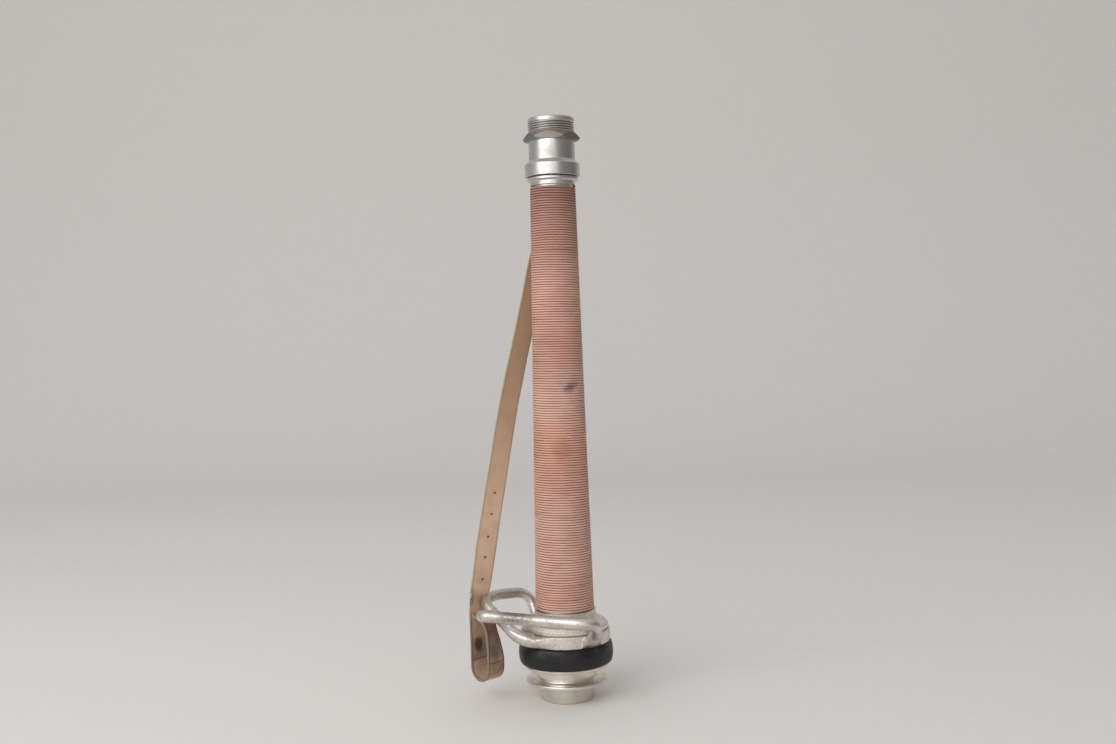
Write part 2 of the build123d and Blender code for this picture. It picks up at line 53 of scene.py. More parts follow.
# View and light
# A level lens opposite the pipe's middle, rolled a little, with the horizon above the
# middle of the picture. One wide soft panel at the upper left, and a room that is bright
# overhead and behind the viewer and dim at the right, so that round metal shows its shape.
IMAGE_WIDTH_PX = 1116
FOCAL_LENGTH_PX = 1187.0
HORIZON_ABOVE_MIDDLE_PX = 28.0
SENSOR_WIDTH = 36.0
CAMERA_DISTANCE = 1.400
CAMERA_HEIGHT = 0.4163
CAMERA_ROLL = radians(1.66)
ROOM_LEFT = (0.34, 0.335, 0.33, 1.0)
ROOM_RIGHT = (0.12, 0.115, 0.11, 1.0)
ROOM_TOP = (0.62, 0.62, 0.62, 1.0)
ROOM_FRONT = (1.45, 1.45, 1.46, 1.0)
# headings run from -1 to 1 along an axis: where a tone begins, and where it is full
LEFT_TO_RIGHT = (-0.8, 0.8)
LEVEL_TO_TOP = (0.25, 0.85)
SIDE_TO_FRONT = (-0.86, -0.99)
PANEL_PLACE = Vector((-1.60, -2.00, 1.75))
PANEL_AIM = Vector((0.0, 0.0, 0.30))
PANEL_WIDTH = 2.6
PANEL_HEIGHT = 2.2
PANEL_WATTS = 44.0
# the sockets of a Mix node that is set to colours
MIX_FIRST = 6
MIX_SECOND = 7
MIX_RESULT = 2
SMOOTH = {"interpolation_type": "SMOOTHSTEP"}

lens = bpy.data.cameras.new("viewpoint")
lens.sensor_width = SENSOR_WIDTH
lens.lens = FOCAL_LENGTH_PX / IMAGE_WIDTH_PX * SENSOR_WIDTH
lens.shift_x = sin(CAMERA_ROLL) * HORIZON_ABOVE_MIDDLE_PX / IMAGE_WIDTH_PX
lens.shift_y = -cos(CAMERA_ROLL) * HORIZON_ABOVE_MIDDLE_PX / IMAGE_WIDTH_PX
viewpoint = bpy.data.objects.new("viewpoint", lens)
picture_right = Vector((cos(CAMERA_ROLL), 0, -sin(CAMERA_ROLL)))
picture_up = Vector((sin(CAMERA_ROLL), 0, cos(CAMERA_ROLL)))
turn = Matrix((picture_right, picture_up, Vector((0, -1, 0)))).transposed().to_4x4()
viewpoint.matrix_world = Matrix.Translation((0, -CAMERA_DISTANCE, CAMERA_HEIGHT)) @ turn
scene.collection.objects.link(viewpoint)
scene.camera = viewpoint

panel_light = bpy.data.lights.new("key", "AREA")
panel_light.shape = "RECTANGLE"
panel_light.size = PANEL_WIDTH
panel_light.size_y = PANEL_HEIGHT
panel_light.energy = PANEL_WATTS
panel = bpy.data.objects.new("key", panel_light)
panel.location = PANEL_PLACE
panel.rotation_euler = (PANEL_AIM - PANEL_PLACE).to_track_quat("-Z", "Y").to_euler()
scene.collection.objects.link(panel)

world = bpy.data.worlds.new("studio")
world.use_nodes = True
room = world.node_tree
heading = room.nodes.new("ShaderNodeSeparateXYZ")
room.links.new(room.nodes.new("ShaderNodeTexCoord").outputs["Generated"], heading.inputs[0])


def add_node(tree, kind, settings=None, inputs=None, output=0):
    """That output of a new node. Each input is a value, or a socket to link to."""
    made = tree.nodes.new(kind)
    for key, value in (settings or {}).items():
        setattr(made, key, value)
    for key, value in (inputs or {}).items():
        if isinstance(value, bpy.types.NodeSocket):
            tree.links.new(value, made.inputs[key])
        else:
            made.inputs[key].default_value = value
    return made.outputs[output]


def room_side(axis, limits, before, towards):
    """Mixes the room's grey from one tone to another along a heading."""
    inputs = {"Value": heading.outputs[axis], "From Min": limits[0], "From Max": limits[1]}
    share = add_node(room, "ShaderNodeMapRange", SMOOTH, inputs)
    inputs = {0: share, MIX_FIRST: before, MIX_SECOND: towards}
    return add_node(room, "ShaderNodeMix", {"data_type": "RGBA"}, inputs, MIX_RESULT)


room_grey = room_side("X", LEFT_TO_RIGHT, ROOM_LEFT, ROOM_RIGHT)
room_grey = room_side("Z", LEVEL_TO_TOP, room_grey, ROOM_TOP)
room_grey = room_side("Y", SIDE_TO_FRONT, room_grey, ROOM_FRONT)
room.links.new(room_grey, room.nodes["Background"].inputs["Color"])
scene.world = world


# Floor and backdrop
# One pale sheet that lies flat under the peg and curves up behind it. It widens towards
# the front, so that it fills the views from behind too.
FLOOR_COLOUR = (0.86, 0.835, 0.81, 1.0)
FIBRE_SHADE = 0.97
BACKDROP_HALF_WIDTH = 6.0
FLOOR_FRONT = -40.0
FLOOR_FRONT_HALF_WIDTH = 60.0
COVE_START = 2.2
COVE_RADIUS = 1.4
BACKDROP_HEIGHT = 5.0
COVE_STEPS = 16


class Signal:
    """A socket whose value varies over a surface. Arithmetic on it adds Math nodes."""

    def __init__(self, finish, socket):
        self.finish = finish
        self.socket = socket

    def _math(self, operation, *values):
        return self.finish.node("ShaderNodeMath", {"operation": operation}, dict(enumerate(values)))

    def __add__(self, other):
        return self._math("ADD", self, other)

    def __mul__(self, other):
        return self._math("MULTIPLY", self, other)

    def __sub__(self, other):
        return self._math("SUBTRACT", self, other)

    def __rsub__(self, other):
        return self._math("SUBTRACT", other, self)

    def __truediv__(self, other):
        return self._math("DIVIDE", self, other)

    __radd__ = __add__
    __rmul__ = __mul__

    def root(self):
        return self._math("SQRT", self)

    def wave(self):
        return self._math("SINE", self)

    def size(self):
        return self._math("ABSOLUTE", self)

    def angle_over(self, other):
        return self._math("ARCTAN2", self, other)

    def between(self, low, high):
        """0 below low, 1 above high, and smooth between them."""
        inputs = {"Value": self, "From Min": low, "From Max": high}
        return self.finish.node("ShaderNodeMapRange", SMOOTH, inputs)


SPOT_CORE = 0.35


class Finish:
    """A material: its first colour, its shader's own numbers, and calls that vary them."""

    def __init__(self, name, colour_below, **numbers):
        self.skin = colour_below
        self.material = bpy.data.materials.new(name)
        self.material.use_nodes = True
        self.tree = self.material.node_tree
        self.shader = self.tree.nodes["Principled BSDF"]
        for socket, value in numbers.items():
            self.shader.inputs[socket.replace("_", " ")].default_value = value
        self.place = self.node("ShaderNodeTexCoord", output="Object")
        parts = self.tree.nodes.new("ShaderNodeSeparateXYZ")
        self.tree.links.new(self.place.socket, parts.inputs[0])
        self.x, self.y, self.z = (Signal(self, socket) for socket in parts.outputs)

    def node(self, kind, settings=None, inputs=None, output=0):
        given = (inputs or {}).items()
        inputs = {key: value.socket if isinstance(value, Signal) else value for key, value in given}
        return Signal(self, add_node(self.tree, kind, settings, inputs, output))

    def stretched(self, x, y, z):
        return self.node(
            "ShaderNodeVectorMath", {"operation": "MULTIPLY"}, {0: self.place, 1: (x, y, z)}
        )

    def vector(self, x, y, z):
        return self.node("ShaderNodeCombineXYZ", None, {0: x, 1: y, 2: z})

    def noise(self, scale, detail, roughness=0.5, place=None):
        inputs = {"Vector": place or self.place, "Scale": scale}
        inputs |= {"Detail": detail, "Roughness": roughness}
        return self.node("ShaderNodeTexNoise", None, inputs)

    def cells(self, scale):
        inputs = {"Vector": self.place, "Scale": scale}
        return self.node("ShaderNodeTexVoronoi", None, inputs, "Distance")

    def value_of(self, attribute):
        return self.node("ShaderNodeAttribute", {"attribute_name": attribute}, None, "Fac")

    def mix(self, share, first, second):
        inputs = {0: share, MIX_FIRST: first, MIX_SECOND: second}
        return self.node("ShaderNodeMix", {"data_type": "RGBA"}, inputs, MIX_RESULT)

    def coat(self, share, tone):
        """Lays that share of a colour over the colour so far."""
        self.skin = self.mix(share, self.skin, tone)
        self.paint("Base Color", self.skin)

    def spot(self, centre, reach):
        """1 near a place on the surface, falling to 0 at that reach along x, y and z, in mm."""
        kind = "ShaderNodeVectorMath"
        middle = tuple(mm * MM for mm in centre)
        shares = tuple(1.0 / (mm * MM) for mm in reach)
        offset = self.node(kind, {"operation": "SUBTRACT"}, {0: self.place, 1: middle})
        scaled = self.node(kind, {"operation": "MULTIPLY"}, {0: offset, 1: shares})
        far = self.node(kind, {"operation": "LENGTH"}, {0: scaled}, "Value")
        return 1.0 - far.between(SPOT_CORE, 1.0)

    def from_axis(self):
        """The distance from the pipe's axis."""
        return (self.x * self.x + self.y * self.y).root()

    def paint(self, socket, signal):
        self.tree.links.new(signal.socket, self.shader.inputs[socket])

    def painted(self, socket):
        """What that socket has been painted with so far."""
        return Signal(self, self.shader.inputs[socket].links[0].from_socket)

    def relief(self, height, distance, strength):
        inputs = {"Strength": strength, "Distance": distance, "Height": height}
        self.paint("Normal", self.node("ShaderNodeBump", None, inputs))


def colour(red, green, blue):
    """An sRGB colour, 0 to 255, as the shader's linear one."""
    shares = [channel / 255 for channel in (red, green, blue)]
    linear = [s / 12.92 if s <= 0.04045 else ((s + 0.055) / 1.055) ** 2.4 for s in shares]
    return (*linear, 1.0)


def darker(tone, share):
    """A colour with only that share of its light."""
    return (*(channel * share for channel in tone[:3]), 1.0)


def mesh_piece(name, points, faces):
    mesh = bpy.data.meshes.new(name)
    mesh.from_pydata([tuple(p) for p in points], [], faces)
    mesh.validate()
    piece = bpy.data.objects.new(name, mesh)
    scene.collection.objects.link(piece)
    return piece


cove_angles = [pi / 2 * step / COVE_STEPS for step in range(COVE_STEPS + 1)]
sheet_line = [(FLOOR_FRONT, 0.0)]
sheet_line += [
    (COVE_START + COVE_RADIUS * sin(a), COVE_RADIUS * (1 - cos(a))) for a in cove_angles
]
sheet_line.append((COVE_START + COVE_RADIUS, BACKDROP_HEIGHT))
sheet_points = [
    (side * (FLOOR_FRONT_HALF_WIDTH if y == FLOOR_FRONT else BACKDROP_HALF_WIDTH), y, z)
    for y, z in sheet_line
    for side in (-1, 1)
]
sheet_faces = [(2 * i, 2 * i + 1, 2 * i + 3, 2 * i + 2) for i in range(len(sheet_line) - 1)]
backdrop = mesh_piece("backdrop", sheet_points, sheet_faces)
backdrop.data.shade_smooth()
paper = Finish("backdrop_paper", FLOOR_COLOUR, Roughness=0.85)
paper.coat(paper.noise(60, 4.0), darker(FLOOR_COLOUR, FIBRE_SHADE))
backdrop.data.materials.append(paper.material)


# Stow peg
# A spigot turned from aluminium bar and bolted down from below. Its ridge is what the
# coupling's catches hold. Only the foot shows under the release ring.
peg_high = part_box("stow_peg")[1]
RIDGE_R = peg_high.x / MM
PEG_TOP_Z = peg_high.z / MM
FOOT_R = 31.2
FOOT_H = 19.7
STEM_R = 29.8
RIDGE_Z = 54.0
RIDGE_T = 2.5
RIDGE_SLOPE_H = 3.0
PEG_TIP_R = 32.4
PEG_CHAMFER = 1.2
mounts = {mount["name"]: mount["dims"] for mount in frame["record"]["mounts"]}
BOLT_HOLE_R = mounts["peg_bolt_hole"]["r_mm"]
BOLT_HOLE_DEPTH = mounts["peg_bolt_hole"]["length_mm"]
TURNED_SIDES = 160
ROUNDING_STEPS = 5
LONGEST_ROUNDING = 0.45
ON_AXIS = 1e-7
RING_GRAIN = 2600


def rounded_outline(corners):
    """Corners (radius, height, rounding) in mm as an outline's points in metres."""
    points = []
    for index, (radius, height, rounding) in enumerate(corners):
        here = np.array((radius, height))
        if rounding == 0:
            points.append(here)
            continue
        before = np.array(corners[index - 1][:2]) - here
        after = np.array(corners[(index + 1) % len(corners)][:2]) - here
        run_before, run_after = np.linalg.norm(before), np.linalg.norm(after)
        before, after = before / run_before, after / run_after
        opening = acos(max(-1.0, min(1.0, float(before @ after))))
        longest = LONGEST_ROUNDING * min(run_before, run_after)
        cut = min(rounding / tan(opening / 2), longest)
        start, end = here + before * cut, here + after * cut
        for t in np.linspace(0, 1, ROUNDING_STEPS):
            points.append((1 - t) ** 2 * start + 2 * t * (1 - t) * here + t**2 * end)
    return np.array(points) * MM


def turned_piece(name, corners):
    """A piece of revolution. An outline that starts and ends on the axis makes a solid."""
    outline = rounded_outline(corners)
    angles = [2 * pi * k / TURNED_SIDES for k in range(TURNED_SIDES)]
    form = bmesh.new()
    rows = []
    for radius, height in outline:
        if radius < ON_AXIS:
            rows.append([form.verts.new((0, 0, height))] * TURNED_SIDES)
            continue
        rows.append([form.verts.new((radius * cos(a), radius * sin(a), height)) for a in angles])
    solid = outline[0][0] < ON_AXIS and outline[-1][0] < ON_AXIS
    for index in range(len(rows) - (1 if solid else 0)):
        low, high = rows[index], rows[(index + 1) % len(rows)]
        for k in range(TURNED_SIDES):
            beside = (k + 1) % TURNED_SIDES
            ring = dict.fromkeys((low[k], low[beside], high[beside], high[k]))
            if len(ring) > 2:
                form.faces.new(tuple(ring))
    bmesh.ops.recalc_face_normals(form, faces=form.faces)
    mesh = bpy.data.meshes.new(name)
    form.to_mesh(mesh)
    form.free()
    piece = bpy.data.objects.new(name, mesh)
    scene.collection.objects.link(piece)
    soften(piece)
    return piece


def soften(piece, sharp_degrees=40.0):
    """Smooth shading that keeps the piece's sharper edges."""
    piece.data.shade_smooth()
    piece.data.set_sharp_from_angle(angle=radians(sharp_degrees))
    shading = piece.modifiers.new("even_shading", "WEIGHTED_NORMAL")
    shading.keep_sharp = True


def fit_piece(piece, body, finish, slot_name, *nodes):
    """Gives a finished piece its material, its body and the CAD nodes it stands for."""
    piece.data.materials.clear()
    piece.data.materials.append(finish.material)
    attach(piece, body)
    if nodes:
        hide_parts(*nodes)


def lathe_metal(name, bright, dull, roughness, darkening=0.35):
    """Bare aluminium off the lathe: fine rings round the axis, tarnish and small nicks."""
    metal = Finish(name, bright, Metallic=1.0)
    radius = metal.from_axis()
    across = (metal.x / radius * 2.0, metal.y / radius * 2.0)
    ring_place = metal.vector(*across, metal.z * RING_GRAIN)
    rings = metal.node(
        "ShaderNodeTexNoise",
        {"noise_dimensions": "4D"},
        {"Vector": ring_place, "W": radius * RING_GRAIN, "Scale": 1.0, "Detail": 2.0},
    )
    tarnish = metal.noise(38, 5.0, 0.62).between(0.40, 0.68)
    film = metal.noise(9, 3.0).between(0.35, 0.70)
    nicks = metal.noise(330, 2.0, 0.5, metal.stretched(1, 1, 2.2)).between(0.69, 0.74)
    metal.coat(tarnish * darkening + film * 0.25, dull)
    metal.coat(rings.between(0.35, 0.75) * 0.22, darker(dull, 0.45))
    metal.coat(nicks * 0.5, darker(dull, 0.25))
    metal.paint("Roughness", roughness + tarnish * 0.16 + rings * 0.10)
    metal.relief(rings * 0.5 - nicks * 2.0, 0.00014, 0.6)
    return metal


peg_metal = lathe_metal(
    "turned_peg_metal", colour(236, 229, 218), colour(190, 179, 165), roughness=0.24
)
peg = turned_piece(
    "stow_peg_turned",
    [
        (0, BOLT_HOLE_DEPTH, 0),
        (BOLT_HOLE_R, BOLT_HOLE_DEPTH, 0.2),
        (BOLT_HOLE_R, 0, 0.4),
        (FOOT_R - PEG_CHAMFER, 0, 0.3),
        (FOOT_R, PEG_CHAMFER, 0.4),
        (FOOT_R, FOOT_H, 0.5),
        (STEM_R, FOOT_H, 0.2),
        (STEM_R, RIDGE_Z, 0.2),
        (RIDGE_R, RIDGE_Z, 0.4),
        (RIDGE_R, RIDGE_Z + RIDGE_T, 0.5),
        (PEG_TIP_R, RIDGE_Z + RIDGE_T + RIDGE_SLOPE_H, 0.4),
        (PEG_TIP_R, PEG_TOP_Z - PEG_CHAMFER, 0.4),
        (PEG_TIP_R - PEG_CHAMFER, PEG_TOP_Z, 0.4),
        (0, PEG_TOP_Z, 0),
    ],
)
fit_piece(peg, "peg", peg_metal, "turned_aluminium", "stow_peg")

# Release ring
# A flanged collar turned from aluminium. It slides up the peg into the coupling's mouth
# and lifts the catches. Its rim is worn bright by fingers.
ring_low, ring_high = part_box("push_ring")
FLANGE_R = ring_high.x / MM
RING_BOTTOM_Z = ring_low.z / MM
RING_TOP_Z = ring_high.z / MM
FLANGE_T = 4.6
SLEEVE_R = 35.4
RUNNING_GAP = 0.3
ring_metal = lathe_metal(
    "turned_ring_metal", colour(243, 236, 226), colour(196, 185, 171), roughness=0.22
)
release_ring = turned_piece(
    "release_ring_turned",
    [
        (STEM_R + RUNNING_GAP, RING_BOTTOM_Z, 0.5),
        (FLANGE_R, RING_BOTTOM_Z, 1.5),
        (FLANGE_R, RING_BOTTOM_Z + FLANGE_T, 1.8),
        (SLEEVE_R, RING_BOTTOM_Z + FLANGE_T, 2.2),
        (SLEEVE_R, RING_TOP_Z, 0.6),
        (STEM_R + RUNNING_GAP, RING_TOP_Z, 0.4),
    ],
)
fit_piece(release_ring, "release_ring", ring_metal, "turned_aluminium", "push_ring")

# Mouth ring
# A turned aluminium ring, screwed into the hub from below. It keeps the rubber bumper up,
# and the catches in.
mouth_low, mouth_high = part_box("mouth_ring")
MOUTH_RING_R = mouth_high.x / MM
MOUTH_BOTTOM_Z = mouth_low.z / MM
MOUTH_TOP_Z = mouth_high.z / MM
MOUTH_BORE_R = 36.2
mouth_ring = turned_piece(
    "mouth_ring_turned",
    [
        (MOUTH_BORE_R, MOUTH_BOTTOM_Z, 0.8),
        (MOUTH_RING_R, MOUTH_BOTTOM_Z, 1.6),
        (MOUTH_RING_R, MOUTH_TOP_Z, 1.2),
        (MOUTH_BORE_R, MOUTH_TOP_Z, 0.2),
    ],
)
fit_piece(mouth_ring, "playpipe", ring_metal, "turned_aluminium", "mouth_ring")

# Coupling body
# The cast and machined hub of the base coupling: seat for the grip ring, a rim over it,
# a domed shoulder, and the tail that the barrel is screwed into.
hub_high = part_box("coupling_body")[1]
SHOULDER_R = hub_high.x / MM
TAIL_TOP_Z = hub_high.z / MM
HUB_R = 46.8
BAND_SEAT_R = 48.4
BAND_BASE_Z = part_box("handle_ring")[0].z / MM
BAND_H = 14.6
SHOULDER_Z = BAND_BASE_Z + BAND_H + 1.0
RIM_TOP_Z = SHOULDER_Z + 3.6
DOME_R = 47.4
DOME_DROP = 4.2
SHOULDER_TOP_R = 40.2
SHOULDER_TOP_Z = 95.0
TAIL_R = 36.2
CATCH_RECESS_R = 32.9
CAVITY_TOP_Z = 60.0
COUPLING_WATERWAY_R = 28.4
BARREL_SOCKET_R = 31.85
BARREL_TAIL_Z = 88.0
FIT_GAP = 0.05


def pitted_casting(name, bright, dull, roughness):
    """Tumbled cast aluminium: cloudy, with pores, small dents and a soft shine."""
    metal = Finish(name, bright, Metallic=1.0)
    cloud = metal.noise(34, 4.0, 0.6).between(0.36, 0.66)
    speckle = metal.noise(420, 3.0, 0.6)
    pores = metal.noise(420, 3.0, 0.65).between(0.65, 0.73)
    dents = metal.noise(150, 3.0, 0.55)
    metal.coat(cloud * 0.60, dull)
    metal.coat(speckle.between(0.36, 0.76) * 0.30, darker(dull, 0.55))
    metal.coat(pores * 0.45, colour(98, 90, 84))
    metal.paint("Roughness", roughness + cloud * 0.12 + speckle.between(0.35, 0.70) * 0.22)
    metal.relief(dents * 0.6 + speckle * 0.25 - pores * 0.5, 0.0005, 0.7)
    return metal


shoulder_metal = pitted_casting(
    "coupling_casting", colour(238, 230, 219), colour(202, 190, 176), roughness=0.32
)
coupling = turned_piece(
    "coupling_body_cast",
    [
        (COUPLING_WATERWAY_R, BARREL_TAIL_Z, 0.2),
        (COUPLING_WATERWAY_R, PEG_TOP_Z + FIT_GAP, 0.2),
        (CATCH_RECESS_R, PEG_TOP_Z + FIT_GAP, 0.2),
        (CATCH_RECESS_R, CAVITY_TOP_Z, 0.3),
        (MOUTH_BORE_R, CAVITY_TOP_Z, 0.2),
        (MOUTH_BORE_R, MOUTH_TOP_Z, 0.2),
        (HUB_R, MOUTH_TOP_Z, 0.2),
        (HUB_R, BAND_BASE_Z - FIT_GAP, 0.2),
        (BAND_SEAT_R, BAND_BASE_Z - FIT_GAP, 0.3),
        (BAND_SEAT_R, SHOULDER_Z, 0.2),
        (SHOULDER_R, SHOULDER_Z, 0.5),
        (SHOULDER_R, RIM_TOP_Z, 3.0),
        (DOME_R, SHOULDER_TOP_Z - DOME_DROP, 4.0),
        (SHOULDER_TOP_R, SHOULDER_TOP_Z - 0.4, 2.4),
        (TAIL_R, SHOULDER_TOP_Z + 1.0, 0.5),
        (TAIL_R, TAIL_TOP_Z, 0.5),
        (BARREL_SOCKET_R, TAIL_TOP_Z, 0.2),
        (BARREL_SOCKET_R, BARREL_TAIL_Z, 0.2),
    ],
)
fit_piece(coupling, "playpipe", shoulder_metal, "cast_aluminium", "coupling_body")

# Bumper
# A fat ring moulded from black rubber and pulled over the hub. It has a faint parting
# line round its middle, grey scuffs and dust on its upper half.
tyre_low, tyre_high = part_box("bumper_ring")
BUMPER_R = tyre_high.x / MM
BUMPER_BOTTOM_Z = tyre_low.z / MM
BUMPER_TOP_Z = tyre_high.z / MM
BUMPER_LIP_R = 50.6
PARTING_RIDGE = 0.14
PARTING_HALF_ANGLE = 1.5
BULGE_FULLNESS = 0.62
BULGE_POINTS = 41
bumper_mid_z = (BUMPER_BOTTOM_Z + BUMPER_TOP_Z) / 2
bumper_half_h = (BUMPER_TOP_Z - BUMPER_BOTTOM_Z) / 2
bumper_line = [(HUB_R + FIT_GAP, z, 0) for z in (BUMPER_TOP_Z, BUMPER_BOTTOM_Z)]
for angle in np.linspace(-90, 90, BULGE_POINTS):
    share = cos(radians(angle)) ** BULGE_FULLNESS
    ridge = PARTING_RIDGE if abs(angle) < PARTING_HALF_ANGLE else 0.0
    bulge_r = BUMPER_LIP_R + (BUMPER_R - PARTING_RIDGE - BUMPER_LIP_R) * share + ridge
    bumper_line.append((bulge_r, bumper_mid_z + bumper_half_h * sin(radians(angle)), 0))
bumper = turned_piece("bumper_rubber_ring", bumper_line)
rubber = Finish("bumper_rubber", colour(20, 20, 21), IOR=1.45)
dust = rubber.noise(34, 5.0, 0.65).between(0.42, 0.74)
settled = (rubber.z / MM).between(bumper_mid_z - 2.0, BUMPER_TOP_Z + 2.0)
scuffs = rubber.noise(1.0, 4.0, 0.7, rubber.stretched(60, 60, 420)).between(0.58, 0.72)
pebble = rubber.noise(1500, 2.0)
rubber.coat(dust * 0.55, colour(48, 47, 46))
rubber.coat(scuffs * 0.40, colour(90, 88, 85))
rubber.coat(settled * dust * 0.50, colour(112, 106, 99))
rubber.paint("Roughness", 0.40 + dust * 0.26 - scuffs * 0.08)
rubber.relief(pebble * 0.3 + scuffs * 0.3 + dust * 0.2, 0.0003, 0.5)
fit_piece(bumper, "playpipe", rubber, "bumper_rubber", "bumper_ring")

# Grip ring
# One aluminium casting: a band round the coupling, a front grip across the barrel and a
# rear grip that loops back. The joints are blended as a pattern maker fillets them.
CASTING_VOXEL = 0.80 * MM
FILLET_PASSES = 9
# Where a grip runs into the band it spreads like a fan. Places are given as distance from
# the axis, azimuth and height: the grip's middle first, then the fan's corners on the band.
FRONT_FOOT = [
    (69.9, 299.3, 87.0),
    (53.2, 290.0, 68.6),
    (53.4, 293.5, 75.5),
    (53.4, 298.0, 82.0),
    (52.9, 321.0, 82.0),
    (52.9, 321.0, 68.6),
    (53.6, 305.0, 68.3),
    (53.6, 305.0, 82.2),
]
REAR_FOOT = [
    (55.4, 230.0, 76.5),
    (52.5, 251.0, 68.5),
    (52.5, 254.0, 75.3),
    (52.5, 251.0, 82.1),
    (52.8, 240.0, 68.4),
    (52.8, 240.0, 82.2),
]
# the foot's places, the grip's radius and the fan's depth
FANS = [(FRONT_FOOT, 6.6, 4.0), (REAR_FOOT, 6.0, 1.9)]
SAME_POINT = 1e-6
# a stretch of the front grip that a spanner has chewed, in short marks across the bar,
# and that is also painted darker as painted shade where the bar reflects little light:
# place and reach in mm
CHEWED_AND_SHADED_STRETCH = ((-56, -66, 112), (32, 26, 9))
grip_ring = bpy.data.objects.new("grip_ring_cast", frame["nodes"]["handle_ring"].data.copy())
scene.collection.objects.link(grip_ring)
form = bmesh.new()
form.from_mesh(grip_ring.data)
bmesh.ops.remove_doubles(form, verts=form.verts, dist=SAME_POINT)


def by_axis(radius, azimuth, z):
    """A point in metres from mm and degrees round the pipe's axis."""
    return Vector((radius * cos(radians(azimuth)), radius * sin(radians(azimuth)), z)) * MM


for (grip_middle, *corners), grip_radius, fan_depth in FANS:
    fan_points = [by_axis(*corner) for corner in corners]
    fan_points += [by_axis(r - fan_depth, azimuth, z) for r, azimuth, z in corners]
    ball = bmesh.new()
    bmesh.ops.create_icosphere(ball, subdivisions=3, radius=grip_radius * MM)
    fan_points += [by_axis(*grip_middle) + vert.co for vert in ball.verts]
    ball.free()
    fan = bmesh.new()
    hull = bmesh.ops.convex_hull(fan, input=[fan.verts.new(point) for point in fan_points])
    inside = {item for item in hull["geom_interior"] if isinstance(item, bmesh.types.BMVert)}
    bmesh.ops.delete(fan, geom=list(inside), context="VERTS")
    fan_mesh = bpy.data.meshes.new("foot_fan")
    fan.to_mesh(fan_mesh)
    fan.free()
    form.from_mesh(fan_mesh)
    bpy.data.meshes.remove(fan_mesh)
form.to_mesh(grip_ring.data)
form.free()
remesh = grip_ring.modifiers.new("even_skin", "REMESH")
remesh.mode = "VOXEL"
remesh.voxel_size = CASTING_VOXEL
blend_joints = grip_ring.modifiers.new("fillets", "SMOOTH")
blend_joints.factor = 0.5
blend_joints.iterations = FILLET_PASSES


def settle(piece):
    """The piece with its modifiers made real, as a plain mesh."""
    evaluated = piece.evaluated_get(bpy.context.evaluated_depsgraph_get())
    mesh = bpy.data.meshes.new_from_object(evaluated)
    mesh.name = piece.name
    piece.modifiers.clear()
    piece.data = mesh
    return mesh


settle(grip_ring)
grip_ring.data.shade_smooth()
cast_metal = pitted_casting(
    "grip_casting", colour(234, 228, 220), colour(184, 174, 162), roughness=0.27
)
chewed_and_shaded = cast_metal.spot(*CHEWED_AND_SHADED_STRETCH)
mark_place = cast_metal.stretched(1.0, -0.42, 0.30)
marks = cast_metal.noise(640, 2.5, 0.6, mark_place).between(0.50, 0.64) * chewed_and_shaded
# painted shade: the whole stretch is darkened where the bar reflects little light; the short marks
# over it are real
cast_metal.coat(chewed_and_shaded * 0.74, colour(128, 118, 116))
cast_metal.coat(marks * 0.75, colour(84, 77, 75))
fit_piece(grip_ring, "playpipe", cast_metal, "cast_aluminium", "handle_ring")

# Barrel
# A tapered aluminium tube under the cord. Its neck and the thin flange below the tip
# fitting are bare and turned bright.
CORD_D = 2.9
WINDING_BASE_R = 34.7
WINDING_TIP_R = 26.9
wound_low, wound_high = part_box("cord_winding")
WINDING_BASE_Z = wound_low.z / MM
WINDING_TIP_Z = wound_high.z / MM
BARREL_WALL = 3.0
NECK_R = 26.6
BARREL_FLANGE_R = 29.9
BARREL_FLANGE_Z = 608.8
BARREL_FLANGE_T = 2.8
SPIGOT_R = 24.6
SPIGOT_TOP_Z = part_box("barrel_tube")[1].z / MM
WATERWAY_R = 20.5
NECK_FLARE = 1.5
barrel_metal = lathe_metal(
    "turned_barrel_metal", colour(230, 228, 225), colour(188, 180, 172), roughness=0.28
)
barrel_base_r = WINDING_BASE_R - CORD_D
flange_top_z = BARREL_FLANGE_Z + BARREL_FLANGE_T
barrel = turned_piece(
    "barrel_tube_turned",
    [
        (barrel_base_r - BARREL_WALL, BARREL_TAIL_Z + FIT_GAP, 0.3),
        (barrel_base_r, BARREL_TAIL_Z + FIT_GAP, 0.3),
        (barrel_base_r, WINDING_BASE_Z, 0.2),
        (WINDING_TIP_R - CORD_D, WINDING_TIP_Z, 0.2),
        (NECK_R, WINDING_TIP_Z + 0.1, 0.4),
        (NECK_R, BARREL_FLANGE_Z - NECK_FLARE, 0.8),
        (BARREL_FLANGE_R, BARREL_FLANGE_Z, 0.3),
        (BARREL_FLANGE_R, flange_top_z, 0.4),
        (SPIGOT_R, flange_top_z, 0.2),
        (SPIGOT_R, SPIGOT_TOP_Z, 0.3),
        (WATERWAY_R, SPIGOT_TOP_Z, 0.3),
        (WATERWAY_R, WINDING_TIP_Z, 0.5),
        (barrel_base_r - BARREL_WALL, WINDING_BASE_Z, 0.5),
    ],
)
fit_piece(barrel, "playpipe", barrel_metal, "turned_aluminium", "barrel_tube")

# Cord winding
# One layer of hard-laid cotton cord wound tight up the barrel and varnished once, now
# faded: salmon below, tan near the tip. Its turns wander a little. One continuous helix.
WINDING_TURNS = 172.0
POINTS_PER_TURN = 62
CORD_SIDES = 8
WANDER = 1.5 * MM
WANDER_SCALE = 16.0
FRAY = 0.30 * MM
FRAY_SCALE = 260.0
END_FADE = 26 * MM
STRAND_PITCH = 7.0 * MM
STRANDS = 3
# height along the pipe in mm: faded colour there
FADE = [
    (105.0, colour(240, 187, 168)),
    (200.0, colour(240, 194, 177)),
    (290.0, colour(231, 171, 146)),
    (350.0, colour(240, 192, 174)),
    (410.0, colour(219, 166, 147)),
    (470.0, colour(236, 183, 166)),
    (545.0, colour(196, 147, 131)),
    (600.0, colour(156, 112, 97)),
]
